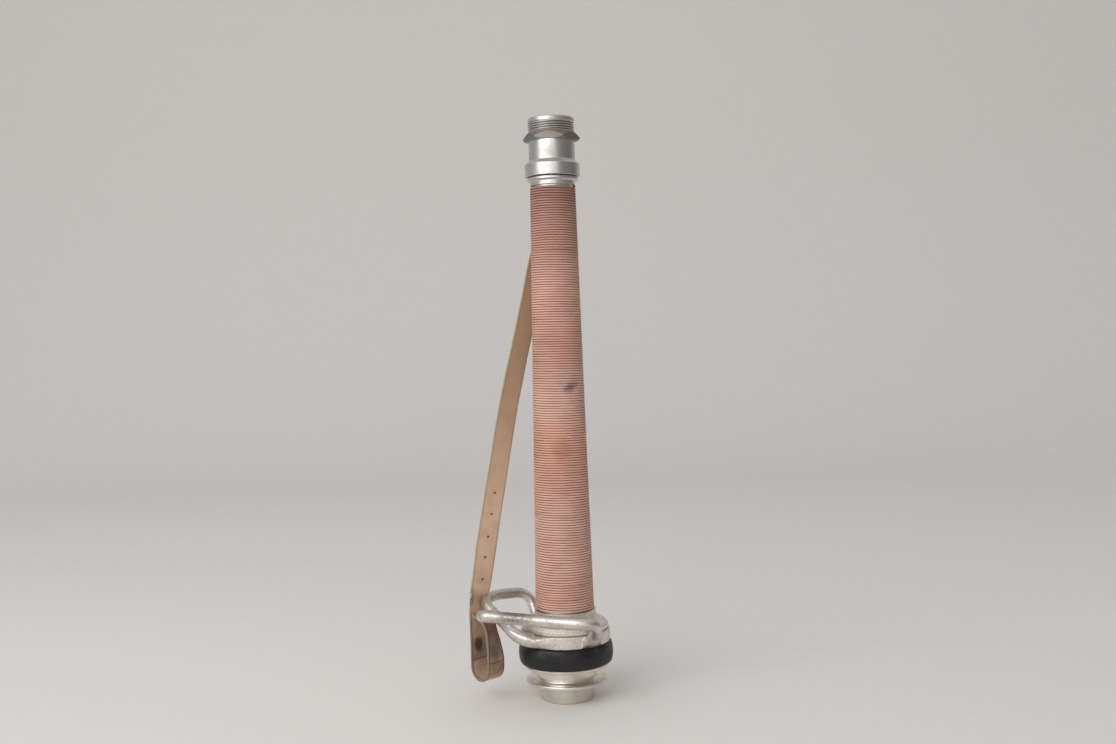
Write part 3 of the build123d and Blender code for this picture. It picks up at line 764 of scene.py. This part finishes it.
# stains: place and reach in mm
ORANGE_STAIN = ((2, -32, 293), (17, 30, 19))
GREY_STAIN = ((12, -29, 364), (9, 12, 6))
GREY_STAIN_TAIL = ((18, -26, 371), (10, 12, 8))
RAW_FRAY = ((30, -9, 305), (4, 8, 9))


def geometry_recipe(name, sizes):
    """A Geometry Nodes tree with those named inputs: the tree, its inputs, a call that adds
    a node, and a call that ends the tree with the finished geometry."""
    tree = bpy.data.node_groups.new(name, "GeometryNodeTree")
    tree.interface.new_socket("Geometry", in_out="OUTPUT", socket_type="NodeSocketGeometry")
    for label, value in sizes.items():
        kind = "NodeSocketInt" if isinstance(value, int) else "NodeSocketFloat"
        tree.interface.new_socket(label, in_out="INPUT", socket_type=kind)
    entry = tree.nodes.new("NodeGroupInput")
    exit_node = tree.nodes.new("NodeGroupOutput")

    def add(kind, settings=None, inputs=None, output=0):
        return add_node(tree, kind, settings, inputs, output)

    def close(geometry):
        tree.links.new(geometry, exit_node.inputs[0])

    return tree, entry.outputs, add, close


def grown_piece(name, tree, sizes):
    """A plain mesh piece made by that tree with those sizes."""
    piece = mesh_piece(name, [], [])
    grower = piece.modifiers.new("recipe", "NODES")
    grower.node_group = tree
    for item in tree.interface.items_tree:
        if item.in_out == "INPUT":
            grower[item.identifier] = sizes[item.name]
    settle(piece)
    return piece


def vector_maths(add, operation, first, second):
    return add("ShaderNodeVectorMath", {"operation": operation}, {0: first, 1: second})


def maths(add, operation, first, second):
    return add("ShaderNodeMath", {"operation": operation}, {0: first, 1: second})


cord_finish = Finish("winding_cord", FADE[0][1], Roughness=0.78)
winding_sizes = {
    "Turns": WINDING_TURNS,
    "Points per turn": POINTS_PER_TURN,
    "Start radius": (WINDING_BASE_R - CORD_D / 2) * MM,
    "End radius": (WINDING_TIP_R - CORD_D / 2) * MM,
    "Start height": (WINDING_BASE_Z + CORD_D / 2) * MM,
    "Rise": (WINDING_TIP_Z - WINDING_BASE_Z - CORD_D) * MM,
    "Cord radius": CORD_D / 2 * MM,
    "Cord sides": CORD_SIDES,
    "Wander": WANDER,
    "Fray": FRAY,
    "End fade": END_FADE,
}
tree, sizes_in, add, close = geometry_recipe("wound_cord", winding_sizes)
helix = add(
    "GeometryNodeCurveSpiral",
    None,
    {
        "Resolution": sizes_in["Points per turn"],
        "Rotations": sizes_in["Turns"],
        "Start Radius": sizes_in["Start radius"],
        "End Radius": sizes_in["End radius"],
        "Height": sizes_in["Rise"],
    },
)
lift = add("ShaderNodeCombineXYZ", None, {2: sizes_in["Start height"]})
place = add("GeometryNodeInputPosition")
height = add("ShaderNodeSeparateXYZ", None, {0: place}, 2)
from_top = maths(add, "SUBTRACT", sizes_in["Rise"], height)
nearest_end = maths(add, "MINIMUM", height, from_top)
slack = maths(add, "DIVIDE", nearest_end, sizes_in["End fade"])
slack = add("ShaderNodeClamp", None, {0: slack})


def wobble(scale, detail, sizes):
    """An uneven shift of the cord's middle, of those sizes along x, y and z."""
    inputs = {"Vector": place, "Scale": scale, "Detail": detail}
    shift = add("ShaderNodeTexNoise", None, inputs, "Color")
    shift = vector_maths(add, "SUBTRACT", shift, (0.5, 0.5, 0.5))
    return vector_maths(add, "MULTIPLY", shift, add("ShaderNodeCombineXYZ", None, sizes))


# the turns wander slowly up and down, and the cord itself is a little rough
slow = wobble(WANDER_SCALE, 1.0, {2: maths(add, "MULTIPLY", slack, sizes_in["Wander"])})
fray = sizes_in["Fray"]
quick = wobble(FRAY_SCALE, 2.0, {0: fray, 1: fray, 2: maths(add, "MULTIPLY", slack, fray)})
offset = vector_maths(add, "ADD", vector_maths(add, "ADD", slow, quick), lift)
laid = add("GeometryNodeSetPosition", None, {"Geometry": helix, "Offset": offset})
flat_place = vector_maths(add, "MULTIPLY", place, (1.0, 1.0, 0.0))
core_radius = add("ShaderNodeVectorMath", {"operation": "LENGTH"}, {0: flat_place}, "Value")
length_along = add("GeometryNodeSplineParameter", None, None, "Length")
stored = {"core_radius": core_radius, "core_height": height, "cord_length": length_along}
for label, value in stored.items():
    inputs = {"Geometry": laid, "Name": label, "Value": value}
    laid = add("GeometryNodeStoreNamedAttribute", None, inputs)
section = add(
    "GeometryNodeCurvePrimitiveCircle",
    None,
    {"Resolution": sizes_in["Cord sides"], "Radius": sizes_in["Cord radius"]},
)
inputs = {"Curve": laid, "Profile Curve": section, "Fill Caps": True}
tube = add("GeometryNodeCurveToMesh", None, inputs)
tube = add("GeometryNodeSetShadeSmooth", None, {0: tube})
tube = add("GeometryNodeRealizeInstances", None, {0: tube})
close(add("GeometryNodeSetMaterial", None, {"Geometry": tube, "Material": cord_finish.material}))
winding = grown_piece("cord_winding_laid", tree, winding_sizes)

out_from_core = cord_finish.from_axis() - cord_finish.value_of("core_radius")
up_from_core = cord_finish.z - cord_finish.value_of("core_height")
crown = out_from_core / (CORD_D / 2 * MM)
round_cord = up_from_core.angle_over(out_from_core)
along_cord = cord_finish.value_of("cord_length")
lay = round_cord * STRANDS + along_cord * (2 * pi / STRAND_PITCH)
strand = lay.wave().size()
for (z_low, _), (z_high, tone) in zip(FADE, FADE[1:]):
    cord_finish.coat((cord_finish.z / MM).between(z_low, z_high), tone)
uneven = cord_finish.noise(1.0, 3.0, 0.6, cord_finish.stretched(22, 22, 330))
patch = cord_finish.noise(26, 3.0).between(0.38, 0.66)
fibre = cord_finish.noise(2600, 2.0)
cord_finish.coat(uneven.between(0.52, 0.78) * 0.50, colour(150, 96, 80))
cord_finish.coat((1.0 - uneven.between(0.22, 0.46)) * 0.45, colour(226, 200, 186))
# painted highlight: the outermost crown of each turn is made lighter
cord_finish.coat(crown.between(0.72, 1.0) * 0.30, colour(222, 194, 176))
cord_finish.coat(patch * 0.22, colour(176, 120, 98))
grey = cord_finish.spot(*GREY_STAIN) + cord_finish.spot(*GREY_STAIN_TAIL) * 0.7
cord_finish.coat(cord_finish.spot(*ORANGE_STAIN) * 0.40, colour(192, 124, 88))
cord_finish.coat(grey * uneven.between(0.30, 0.62), colour(128, 112, 116))
cord_finish.coat(cord_finish.spot(*RAW_FRAY) * 0.8, colour(232, 206, 170))
# painted shade: darker in the grooves between the cord's strands
cord_finish.coat((1.0 - strand.between(0.0, 0.5)) * 0.30, colour(132, 86, 72))
# painted shade: the cord darkens towards the gaps between its turns
cord_finish.coat(1.0 - crown.between(0.18, 0.80), colour(98, 52, 42))
cord_finish.relief(strand * 0.8 + fibre * 0.35, 0.0004, 0.7)
fit_piece(winding, "playpipe", cord_finish, "winding_cord", "cord_winding")

# Gasket
# A flat ring cut from black rubber sheet. It lies loose round the barrel's spigot, nipped
# between the barrel's flange and the tip fitting.
gasket_low, gasket_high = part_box("tip_gasket")
gasket = turned_piece(
    "tip_gasket_ring",
    [
        (SPIGOT_R + FIT_GAP, gasket_low.z / MM, 0.1),
        (gasket_high.x / MM, gasket_low.z / MM, 0.3),
        (gasket_high.x / MM, gasket_high.z / MM, 0.3),
        (SPIGOT_R + FIT_GAP, gasket_high.z / MM, 0.1),
    ],
)
packing = Finish("gasket_rubber", colour(24, 23, 23))
speck = packing.noise(700, 3.0)
packing.coat(speck, colour(44, 42, 40))
packing.paint("Roughness", 0.6 + speck * 0.2)
packing.relief(speck, 0.0001, 0.5)
fit_piece(gasket, "playpipe", packing, "gasket_rubber", "tip_gasket")

# Tip fitting
# Turned from one aluminium bar: a collar over the barrel's spigot, a neck, a hexagon for
# the spanner with bevelled corners, and a cut male thread with a plain lead-in lip.
COLLAR_R = 32.5
COLLAR_H = 14.4
COLLAR_BEVEL = 4.8
FITTING_NECK_R = 27.2
HEX_Z = 655.2
HEX_CORNER_R = 34.0
HEX_H = 2.7
HEX_BEVEL_H = 7.6
HEX_UNDERCUT = 2.3
HEX_TURN = radians(-6.0)
THREAD_R = 27.4
THREAD_DEPTH = 1.35
THREAD_PITCH = 2.75
THREAD_RUNOUT = 0.8
LIP_R = 26.2
LIP_H = 5.4
LIP_CHAMFER_H = 1.7
LIP_ROUNDNESS = 1.3
LIP_EDGE = 0.4
MOUTH_CHAMFER = 1.5
FITTING_SIDES = 240
ROW_STEP = 0.13
collar_z = gasket_high.z / MM
fitting_top_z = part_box("tip_fitting")[1].z / MM
hex_top_z = HEX_Z + HEX_H
thread_z = hex_top_z + HEX_BEVEL_H
thread_top_z = fitting_top_z - LIP_H


def hexagon_radius(angle):
    """The hexagon's radius at that angle round the axis."""
    sector = (angle - HEX_TURN) % (pi / 3) - pi / 6
    return HEX_CORNER_R * cos(pi / 6) / cos(sector)


def fitting_radius(z, angle):
    """The fitting's outside at a height and an angle, in mm."""
    if HEX_Z <= z <= thread_z:
        bevel = min(
            HEX_CORNER_R - HEX_UNDERCUT + (z - HEX_Z),
            HEX_CORNER_R,
            THREAD_R + (thread_z - z) / HEX_BEVEL_H * (HEX_CORNER_R - THREAD_R),
        )
        return max(FITTING_NECK_R, min(bevel, hexagon_radius(angle)))
    if z > thread_z:
        phase = (z / THREAD_PITCH - angle / (2 * pi)) % 1.0
        groove = THREAD_DEPTH * (0.5 - 0.5 * cos(2 * pi * phase))
        run_in = (z - thread_z) / THREAD_RUNOUT
        run_out = (thread_top_z + THREAD_RUNOUT / 2 - z) / THREAD_RUNOUT
        fade = min(1.0, max(0.0, run_in), max(0.0, run_out))
        lead = max(0.0, z - fitting_top_z + LIP_CHAMFER_H) / LIP_CHAMFER_H
        return THREAD_R - groove * fade - (THREAD_R - LIP_R) * lead**LIP_ROUNDNESS
    return FITTING_NECK_R


lower_rows = rounded_outline(
    [
        (SPIGOT_R + FIT_GAP, collar_z, 0.2),
        (COLLAR_R, collar_z, 0.7),
        (COLLAR_R, collar_z + COLLAR_H, 0.6),
        (FITTING_NECK_R, collar_z + COLLAR_H + COLLAR_BEVEL, 1.0),
        (FITTING_NECK_R, HEX_Z, 0),
    ]
)[ROUNDING_STEPS:]
hex_rows = np.arange(HEX_Z, fitting_top_z, ROW_STEP)
angles = [2 * pi * k / FITTING_SIDES + HEX_TURN for k in range(FITTING_SIDES)]
rows = [[(r, z)] * FITTING_SIDES for r, z in lower_rows]
rows += [[(fitting_radius(z, a) * MM, z * MM) for a in angles] for z in hex_rows]
inner = [
    (LIP_R - LIP_EDGE, fitting_top_z),
    (WATERWAY_R + MOUTH_CHAMFER, fitting_top_z),
    (WATERWAY_R, fitting_top_z - MOUTH_CHAMFER),
    (WATERWAY_R, SPIGOT_TOP_Z + FIT_GAP),
    (SPIGOT_R + FIT_GAP, SPIGOT_TOP_Z + FIT_GAP),
    (SPIGOT_R + FIT_GAP, collar_z),
]
rows += [[(r * MM, z * MM)] * FITTING_SIDES for r, z in inner]
fitting_points = [
    (r * cos(a), r * sin(a), z) for row in rows for (r, z), a in zip(row, angles)
]


def skin_between(starts, after, count):
    """The faces between rows of points that start at one index and at the one after it."""
    return [
        (start + k, start + (k + 1) % count, beside + (k + 1) % count, beside + k)
        for start, beside in zip(starts, after)
        for k in range(count)
    ]


row_starts = [index * FITTING_SIDES for index in range(len(rows))]
fitting_faces = skin_between(row_starts, row_starts[1:] + row_starts[:1], FITTING_SIDES)
fitting = mesh_piece("tip_fitting_turned", fitting_points, fitting_faces)
soften(fitting, sharp_degrees=38.0)
fitting_metal = lathe_metal(
    "turned_fitting_metal", colour(228, 226, 224), colour(184, 177, 170), roughness=0.29, darkening=0.55
)
# the thread's grooves are darker, partly with dirt and partly as painted shade, and the
# hexagon is rougher where spanners have been, with painted shade darkening its band
groove_limits = ((THREAD_R - THREAD_DEPTH) * MM, (THREAD_R - 0.25) * MM)
darkening = 1.0 - fitting_metal.from_axis().between(*groove_limits)
fitting_mm = fitting_metal.z / MM
darkening = darkening * fitting_mm.between(thread_z - 0.5, thread_z + 0.6)
darkening = darkening * (1.0 - fitting_mm.between(thread_top_z, thread_top_z + 0.8))
hex_band = fitting_mm.between(HEX_Z - 0.6, HEX_Z + 0.2)
hex_band = hex_band * (1.0 - fitting_mm.between(thread_z - 1.0, thread_z))
# painted shade: the hexagon's band is darker, since its flat faces reflect little light
fitting_metal.coat(hex_band * 0.88, colour(134, 124, 118))
# partly dirt, partly painted shade in the thread's grooves
fitting_metal.coat(darkening * 0.70, colour(82, 70, 60))
fitting_metal.paint("Roughness", fitting_metal.painted("Roughness") + hex_band * 0.18)
fit_piece(fitting, "playpipe", fitting_metal, "turned_aluminium", "tip_fitting")

# Strap eye and D-ring
# A forged steel lug let into the barrel's far side, and a bent wire ring hung in it. Both
# are zinc plated, dulled and slightly rusty where they rub.
steel = Finish("ring_steel", colour(150, 148, 144), Metallic=1.0)
bloom = steel.noise(140, 5.0, 0.65)
rust = bloom.between(0.58, 0.72)
steel.coat(rust * 0.6, colour(104, 66, 44))
steel.paint("Roughness", 0.34 + bloom * 0.25)
steel.relief(bloom, 0.0002, 0.4)
for node in ("strap_eye", "strap_d_ring"):
    bare_node = frame["nodes"][node]
    bare_node.data.materials.clear()
    bare_node.data.materials.append(steel.material)

# Strap
# One strip of tan harness leather. It is folded round the D-ring's bar, hangs past the
# rear grip, and ends in a long fold whose tail is turned back up behind the front grip.
STRAP_W = 24.4
STRAP_T = 2.8
TAIL_T = 3.8
TAIL_TWIST = radians(20.0)
TWIST_HEIGHTS = (50.0, 82.0, 88.0, 96.5)
FOLD_ANGLE = radians(45.0)
FOLD_MID = np.array((-93.0, -4.0, 0.0))
FOLD_HALF_DEPTH = 14.6
FOLD_BOTTOM_Z = 24.5
FOLD_TOP_Z = 104.0
# awl holes down the middle, closed at the far side by dirt, each with painted shade round it
PUNCH_R = 1.1
PUNCH_DEPTH = 2.1
PUNCH_PITCH_Z = 25.4
PUNCH_COUNT = 5
PUNCH_TOP_Z = 240.0
PUNCH_SIDES = 20
HOLE_SHADE_REACH = 2.7
RING_WIRE_R = 2.0
# the end is pared thin and wrapped round the D-ring's bar
HEM_R = 3.7
HEM_T = 1.6
HEM_WRAP = (-50, 180)
HEM_STEPS = 20
HEM_DROP = 4.0
HEM_RUN_OUT = 14.0
EDGE_ROUNDING = 0.9
SECTION_FLAT_STEPS = 9
# edges that are not quite straight: size in mm, mm along the strap, start
EDGE_WAVES = [(0.30, 31.0, 0.0), (0.18, 11.0, 1.0)]
# a strip that is not quite flat: the same, and the run over which that begins
CUP_SIZE = 0.22
CUP_LENGTH = 17.0
CUP_START = 0.6
CUP_RUN_IN = 60.0
FOLD_CREASE_Z = 47.5
# place and reach in mm
FOLD_STAIN = ((-103, 4, 64.5), (9, 11, 11.5))
TORN_EDGE = ((-113, 4, 119), (8, 14, 13))
wire_low, wire_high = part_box("strap_d_ring")
bar_y = (wire_low.y + wire_high.y) / 2 / MM
bar_z = wire_low.z / MM + RING_WIRE_R
fold_across = np.array((cos(FOLD_ANGLE), sin(FOLD_ANGLE), 0.0))
fold_out = np.array((-sin(FOLD_ANGLE), cos(FOLD_ANGLE), 0.0))
fold_back_x, fold_back_y, _ = FOLD_MID + fold_out * FOLD_HALF_DEPTH
fold_arc_z = FOLD_BOTTOM_Z + FOLD_HALF_DEPTH + STRAP_T / 2
# columns: middle of the strap x, y, z in mm, and its flat side's turn from +X in degrees
HANG = [
    (-0.6, bar_y - 0.8, bar_z - 5.0, 0.0),
    (-3.2, 38.3, bar_z - 18.0, 6.0),
    (-18.5, 37.0, 522.0, 24.0),
    (-38.6, 33.0, 438.0, 28.0),
    (-58.8, 29.0, 353.0, 28.0),
    (-78.6, 23.0, 249.0, 20.0),
    (-92.0, 18.8, 175.0, 18.0),
    (-98.0, 17.2, 138.0, 25.0),
    (-99.6, 16.6, 130.5, 25.0),
    (-101.0, 15.5, 125.5, 32.0),
    (-104.0, 13.3, 120.5, 53.0),
    (-105.0, 11.8, 116.0, 63.0),
    (-105.0, 10.0, 110.0, 62.0),
    (fold_back_x, fold_back_y, FOLD_TOP_Z - 4.0, 45.0),
    (fold_back_x, fold_back_y, fold_arc_z, 45.0),
]
# the tail, edge-on: distance out from the fold's middle, height
TAIL = [
    (-FOLD_HALF_DEPTH, fold_arc_z),
    (-FOLD_HALF_DEPTH - 0.3, 58.0),
    (-FOLD_HALF_DEPTH, 72.0),
    (-FOLD_HALF_DEPTH + 1.2, 82.5),
    (-9.5, 90.0),
    (-3.0, 94.8),
    (4.5, 97.8),
    (FOLD_HALF_DEPTH - STRAP_T, FOLD_TOP_Z - 4.0),
]
RUNG_STEP = 1.6
FOLD_ARC_STEPS = 18
DRIFT_RUNGS = 7


def smooth_rows(table, step):
    """Rows along a smooth curve through the table's rows, a step apart."""
    table = np.array(table, float)
    spans = [np.linalg.norm((after - before)[:3]) for before, after in zip(table, table[1:])]
    rows = []
    for index, span in enumerate(spans):
        start, end = table[index], table[index + 1]
        leaving = arriving = end - start
        if index > 0:
            leaving = (end - table[index - 1]) / 2 * min(1.0, span / spans[index - 1])
        if index + 1 < len(spans):
            arriving = (table[index + 2] - start) / 2 * min(1.0, span / spans[index + 1])
        for t in np.arange(0, 1, min(1.0, step / span)):
            rows.append(
                (2 * t**3 - 3 * t**2 + 1) * start
                + (t**3 - 2 * t**2 + t) * leaving
                + (-2 * t**3 + 3 * t**2) * end
                + (t**3 - t**2) * arriving
            )
    rows.append(table[-1])
    return rows


def flat_at(angle):
    """The strap's level direction across, turned by that angle from +X."""
    return np.array((cos(angle), sin(angle), 0.0))


# rungs across the strap, from its upper end to its tail: middle, across, thickness
rungs = []
for angle in np.radians(np.linspace(*HEM_WRAP, HEM_STEPS)):
    middle = np.array((0.0, bar_y + HEM_R * cos(angle), bar_z + HEM_R * sin(angle)))
    rungs.append((middle, flat_at(0.0), HEM_T))
hang_rows = smooth_rows(HANG, RUNG_STEP)
for row in hang_rows:
    below_hem = min(1.0, max(0.0, (bar_z - HEM_DROP - row[2]) / HEM_RUN_OUT))
    rungs.append((row[:3], flat_at(radians(row[3])), HEM_T + (STRAP_T - HEM_T) * below_hem))
for angle in np.linspace(0, pi, FOLD_ARC_STEPS)[1:-1]:
    middle = FOLD_MID + fold_out * FOLD_HALF_DEPTH * cos(angle)
    middle[2] = fold_arc_z - FOLD_HALF_DEPTH * sin(angle)
    rungs.append((middle, fold_across, STRAP_T + (TAIL_T - STRAP_T) * angle / pi))
tail_rung = len(rungs)
for out, height in smooth_rows(TAIL, RUNG_STEP):
    middle = FOLD_MID + fold_out * out
    middle[2] = height
    # the tail twists behind the grip's tip about its near edge, and then back
    twist = TAIL_TWIST * np.interp(height, TWIST_HEIGHTS, (0.0, 1.0, 1.0, 0.0))
    across = flat_at(FOLD_ANGLE + twist)
    rungs.append((middle + (across - fold_across) * STRAP_W / 2, across, TAIL_T))


def strap_section(width, thickness):
    """The strip's cross-section: flat faces and rounded edges, as (across, through)."""
    half_w, half_t = width / 2, thickness / 2
    corner = min(EDGE_ROUNDING, half_t * 0.95)
    ring = []
    for side in (1, -1):
        for share in np.linspace(-1, 1, SECTION_FLAT_STEPS):
            ring.append((side * share * (half_w - corner), side * half_t))
        for angle in (60, 30, 0, -30, -60):
            reach = half_w - corner + corner * cos(radians(angle))
            rise = (half_t - corner) * np.sign(angle) + corner * sin(radians(angle))
            ring.append((side * reach, side * rise))
    return ring


def heading_at(index, rungs_away):
    """The strap's direction at a rung, taken over that many rungs either way."""
    ahead = rungs[min(index + rungs_away, len(rungs) - 1)][0]
    run = ahead - rungs[max(index - rungs_away, 0)][0]
    return run / np.linalg.norm(run)


strap_points, across_share, along_mm = [], [], []
travelled = 0.0
section_count = len(strap_section(STRAP_W, STRAP_T))
for index, (middle, across, thickness) in enumerate(rungs):
    along, drift = heading_at(index, 1), heading_at(index, DRIFT_RUNGS)
    across = across - drift * (across @ drift)
    across /= np.linalg.norm(across)
    through = np.cross(along, across)
    through /= np.linalg.norm(through)
    travelled += np.linalg.norm(middle - rungs[max(index - 1, 0)][0])
    wave = sum(size * sin(travelled / length + start) for size, length, start in EDGE_WAVES)
    ripple = CUP_SIZE * sin(travelled / CUP_LENGTH + CUP_START)
    ripple *= min(1.0, travelled / CUP_RUN_IN)
    for side, out in strap_section(STRAP_W + wave, thickness):
        cup = ripple * (side / (STRAP_W / 2)) ** 2
        strap_points.append((middle + across * side + through * (out + cup)) * MM)
        across_share.append(side / (STRAP_W / 2))
        along_mm.append(travelled)
tail_start_mm = along_mm[tail_rung * section_count]
row_starts = [index * section_count for index in range(len(rungs))]
strap_faces = skin_between(row_starts, row_starts[1:], section_count)
for end_start in (row_starts[0], row_starts[-1]):
    strap_faces.append(tuple(end_start + k for k in range(section_count)))
strap = mesh_piece("strap_leather_strip", strap_points, strap_faces)
for label, values in (("across_strap", across_share), ("along_strap", along_mm)):
    attribute = strap.data.attributes.new(label, "FLOAT", "POINT")
    attribute.data.foreach_set("value", np.array(values, np.float32))
form = bmesh.new()
form.from_mesh(strap.data)
bmesh.ops.recalc_face_normals(form, faces=form.faces)
form.to_mesh(strap.data)
form.free()
hole_places = []
for index in range(PUNCH_COUNT):
    hole_z = PUNCH_TOP_Z - index * PUNCH_PITCH_Z
    row = min(hang_rows, key=lambda r: abs(r[2] - hole_z))
    way_through = Vector((sin(radians(row[3])), -cos(radians(row[3])), 0))
    hole_places.append(row[:3])
    bpy.ops.mesh.primitive_cylinder_add(
        vertices=PUNCH_SIDES,
        radius=PUNCH_R * MM,
        depth=2 * PUNCH_DEPTH * MM,
        location=(Vector(row[:3]) + way_through * (STRAP_T / 2)) * MM,
        rotation=way_through.to_track_quat("Z", "Y").to_euler(),
    )
    punch = bpy.context.object
    cutter = strap.modifiers.new("punch", "BOOLEAN")
    cutter.operation = "DIFFERENCE"
    cutter.solver = "EXACT"
    cutter.object = punch
    settle(strap)
    bpy.data.objects.remove(punch)
soften(strap, sharp_degrees=50.0)

leather = Finish("strap_leather", colour(214, 184, 155))
sideways = leather.value_of("across_strap")
off_middle = sideways.size()
length_mm = leather.value_of("along_strap")
height_mm = leather.z / MM
grain_place = leather.vector(sideways * 12.0, length_mm * 0.12, 0.0)
streak = leather.noise(4.0, 4.0, 0.6, grain_place)
mottle = leather.noise(55, 5.0, 0.62).between(0.36, 0.70)
skin_grain = leather.cells(1500)
crease_place = leather.vector(sideways * 1.5, length_mm * 0.9, 0.0)
creases = leather.noise(1.0, 2.0, 0.5, crease_place).between(0.64, 0.74)
# painted shade: the strap is darker higher up, where it hangs in shade
leather.coat(height_mm.between(180.0, 420.0), colour(184, 154, 124))
leather.coat(mottle * 0.40, colour(178, 142, 114))
leather.coat(streak.between(0.50, 0.72) * 0.35, colour(152, 124, 100))
leather.coat(creases * 0.16, colour(110, 84, 64))
# the fold is brown with age and painted darker still as painted shade, since it hangs in
# shade, but its hanging wall is bare of both where hands have rubbed it
in_fold = 1.0 - height_mm.between(84.0, 116.0)
on_tail = length_mm.between(tail_start_mm - 14.0, tail_start_mm)
handled = (1.0 - height_mm.between(41.0, 49.0)) * 0.75 + height_mm.between(68.0, 84.0) * 0.85
aged_and_shaded = in_fold * (0.38 + mottle * 0.36) * (1.0 - handled * (1.0 - on_tail))
# partly age, partly painted shade over the fold
leather.coat(aged_and_shaded, colour(104, 86, 72))
# painted shade: the tail is darker and redder where it runs under the front grip
leather.coat(on_tail * height_mm.between(66.0, 84.0) * 0.50, colour(92, 54, 40))
greyed = height_mm.between(50.0, 58.0) * (1.0 - height_mm.between(64.0, 72.0)) * on_tail
leather.coat(greyed * (0.3 + mottle * 0.4), colour(112, 110, 106))
stain = leather.spot(*FOLD_STAIN) * (0.8 + mottle * 0.2)
leather.coat(stain * 0.95, colour(50, 26, 16))
# painted shade: a dark line along the fold's crease
crease_offset = height_mm - FOLD_CREASE_Z - (streak - 0.5) * 5.0
fold_crease = (1.0 - crease_offset.size().between(0.2, 1.0)) * in_fold
leather.coat(fold_crease * 0.75, colour(58, 46, 38))
# painted shade round each awl hole, so that the holes read dark
for hole in hole_places:
    leather.coat(leather.spot(hole, (HOLE_SHADE_REACH,) * 3) * 0.9, colour(84, 60, 54))
# dark bits of a torn edge, where the strip rubs on the rear grip
torn = leather.spot(*TORN_EDGE) * leather.noise(260, 3.0, 0.6).between(0.46, 0.53)
torn = torn * off_middle.between(0.60, 0.76)
# the cut edge is pale and bare, between two dark lines of old dressing; inside the fold
# the lines are stronger and the edge is a darker copy of itself, as painted shade
seam = off_middle.between(0.80, 0.88) * (0.25 + in_fold * 0.55)
leather.coat(seam, colour(66, 54, 43))
# painted shade: a darker copy of the edge's colour inside the fold
cut_edge = leather.mix(in_fold, colour(166, 152, 128), colour(136, 122, 100))
leather.coat(off_middle.between(0.90, 0.955) * 0.85, cut_edge)
leather.coat(torn * 0.85, colour(58, 44, 38))
leather.paint("Roughness", 0.56 + mottle * 0.18)
leather.relief(skin_grain * 0.25 + streak * 0.5 - creases * 0.6, 0.0004, 0.6)
fit_piece(strap, "playpipe", leather, "strap_leather", "strap")
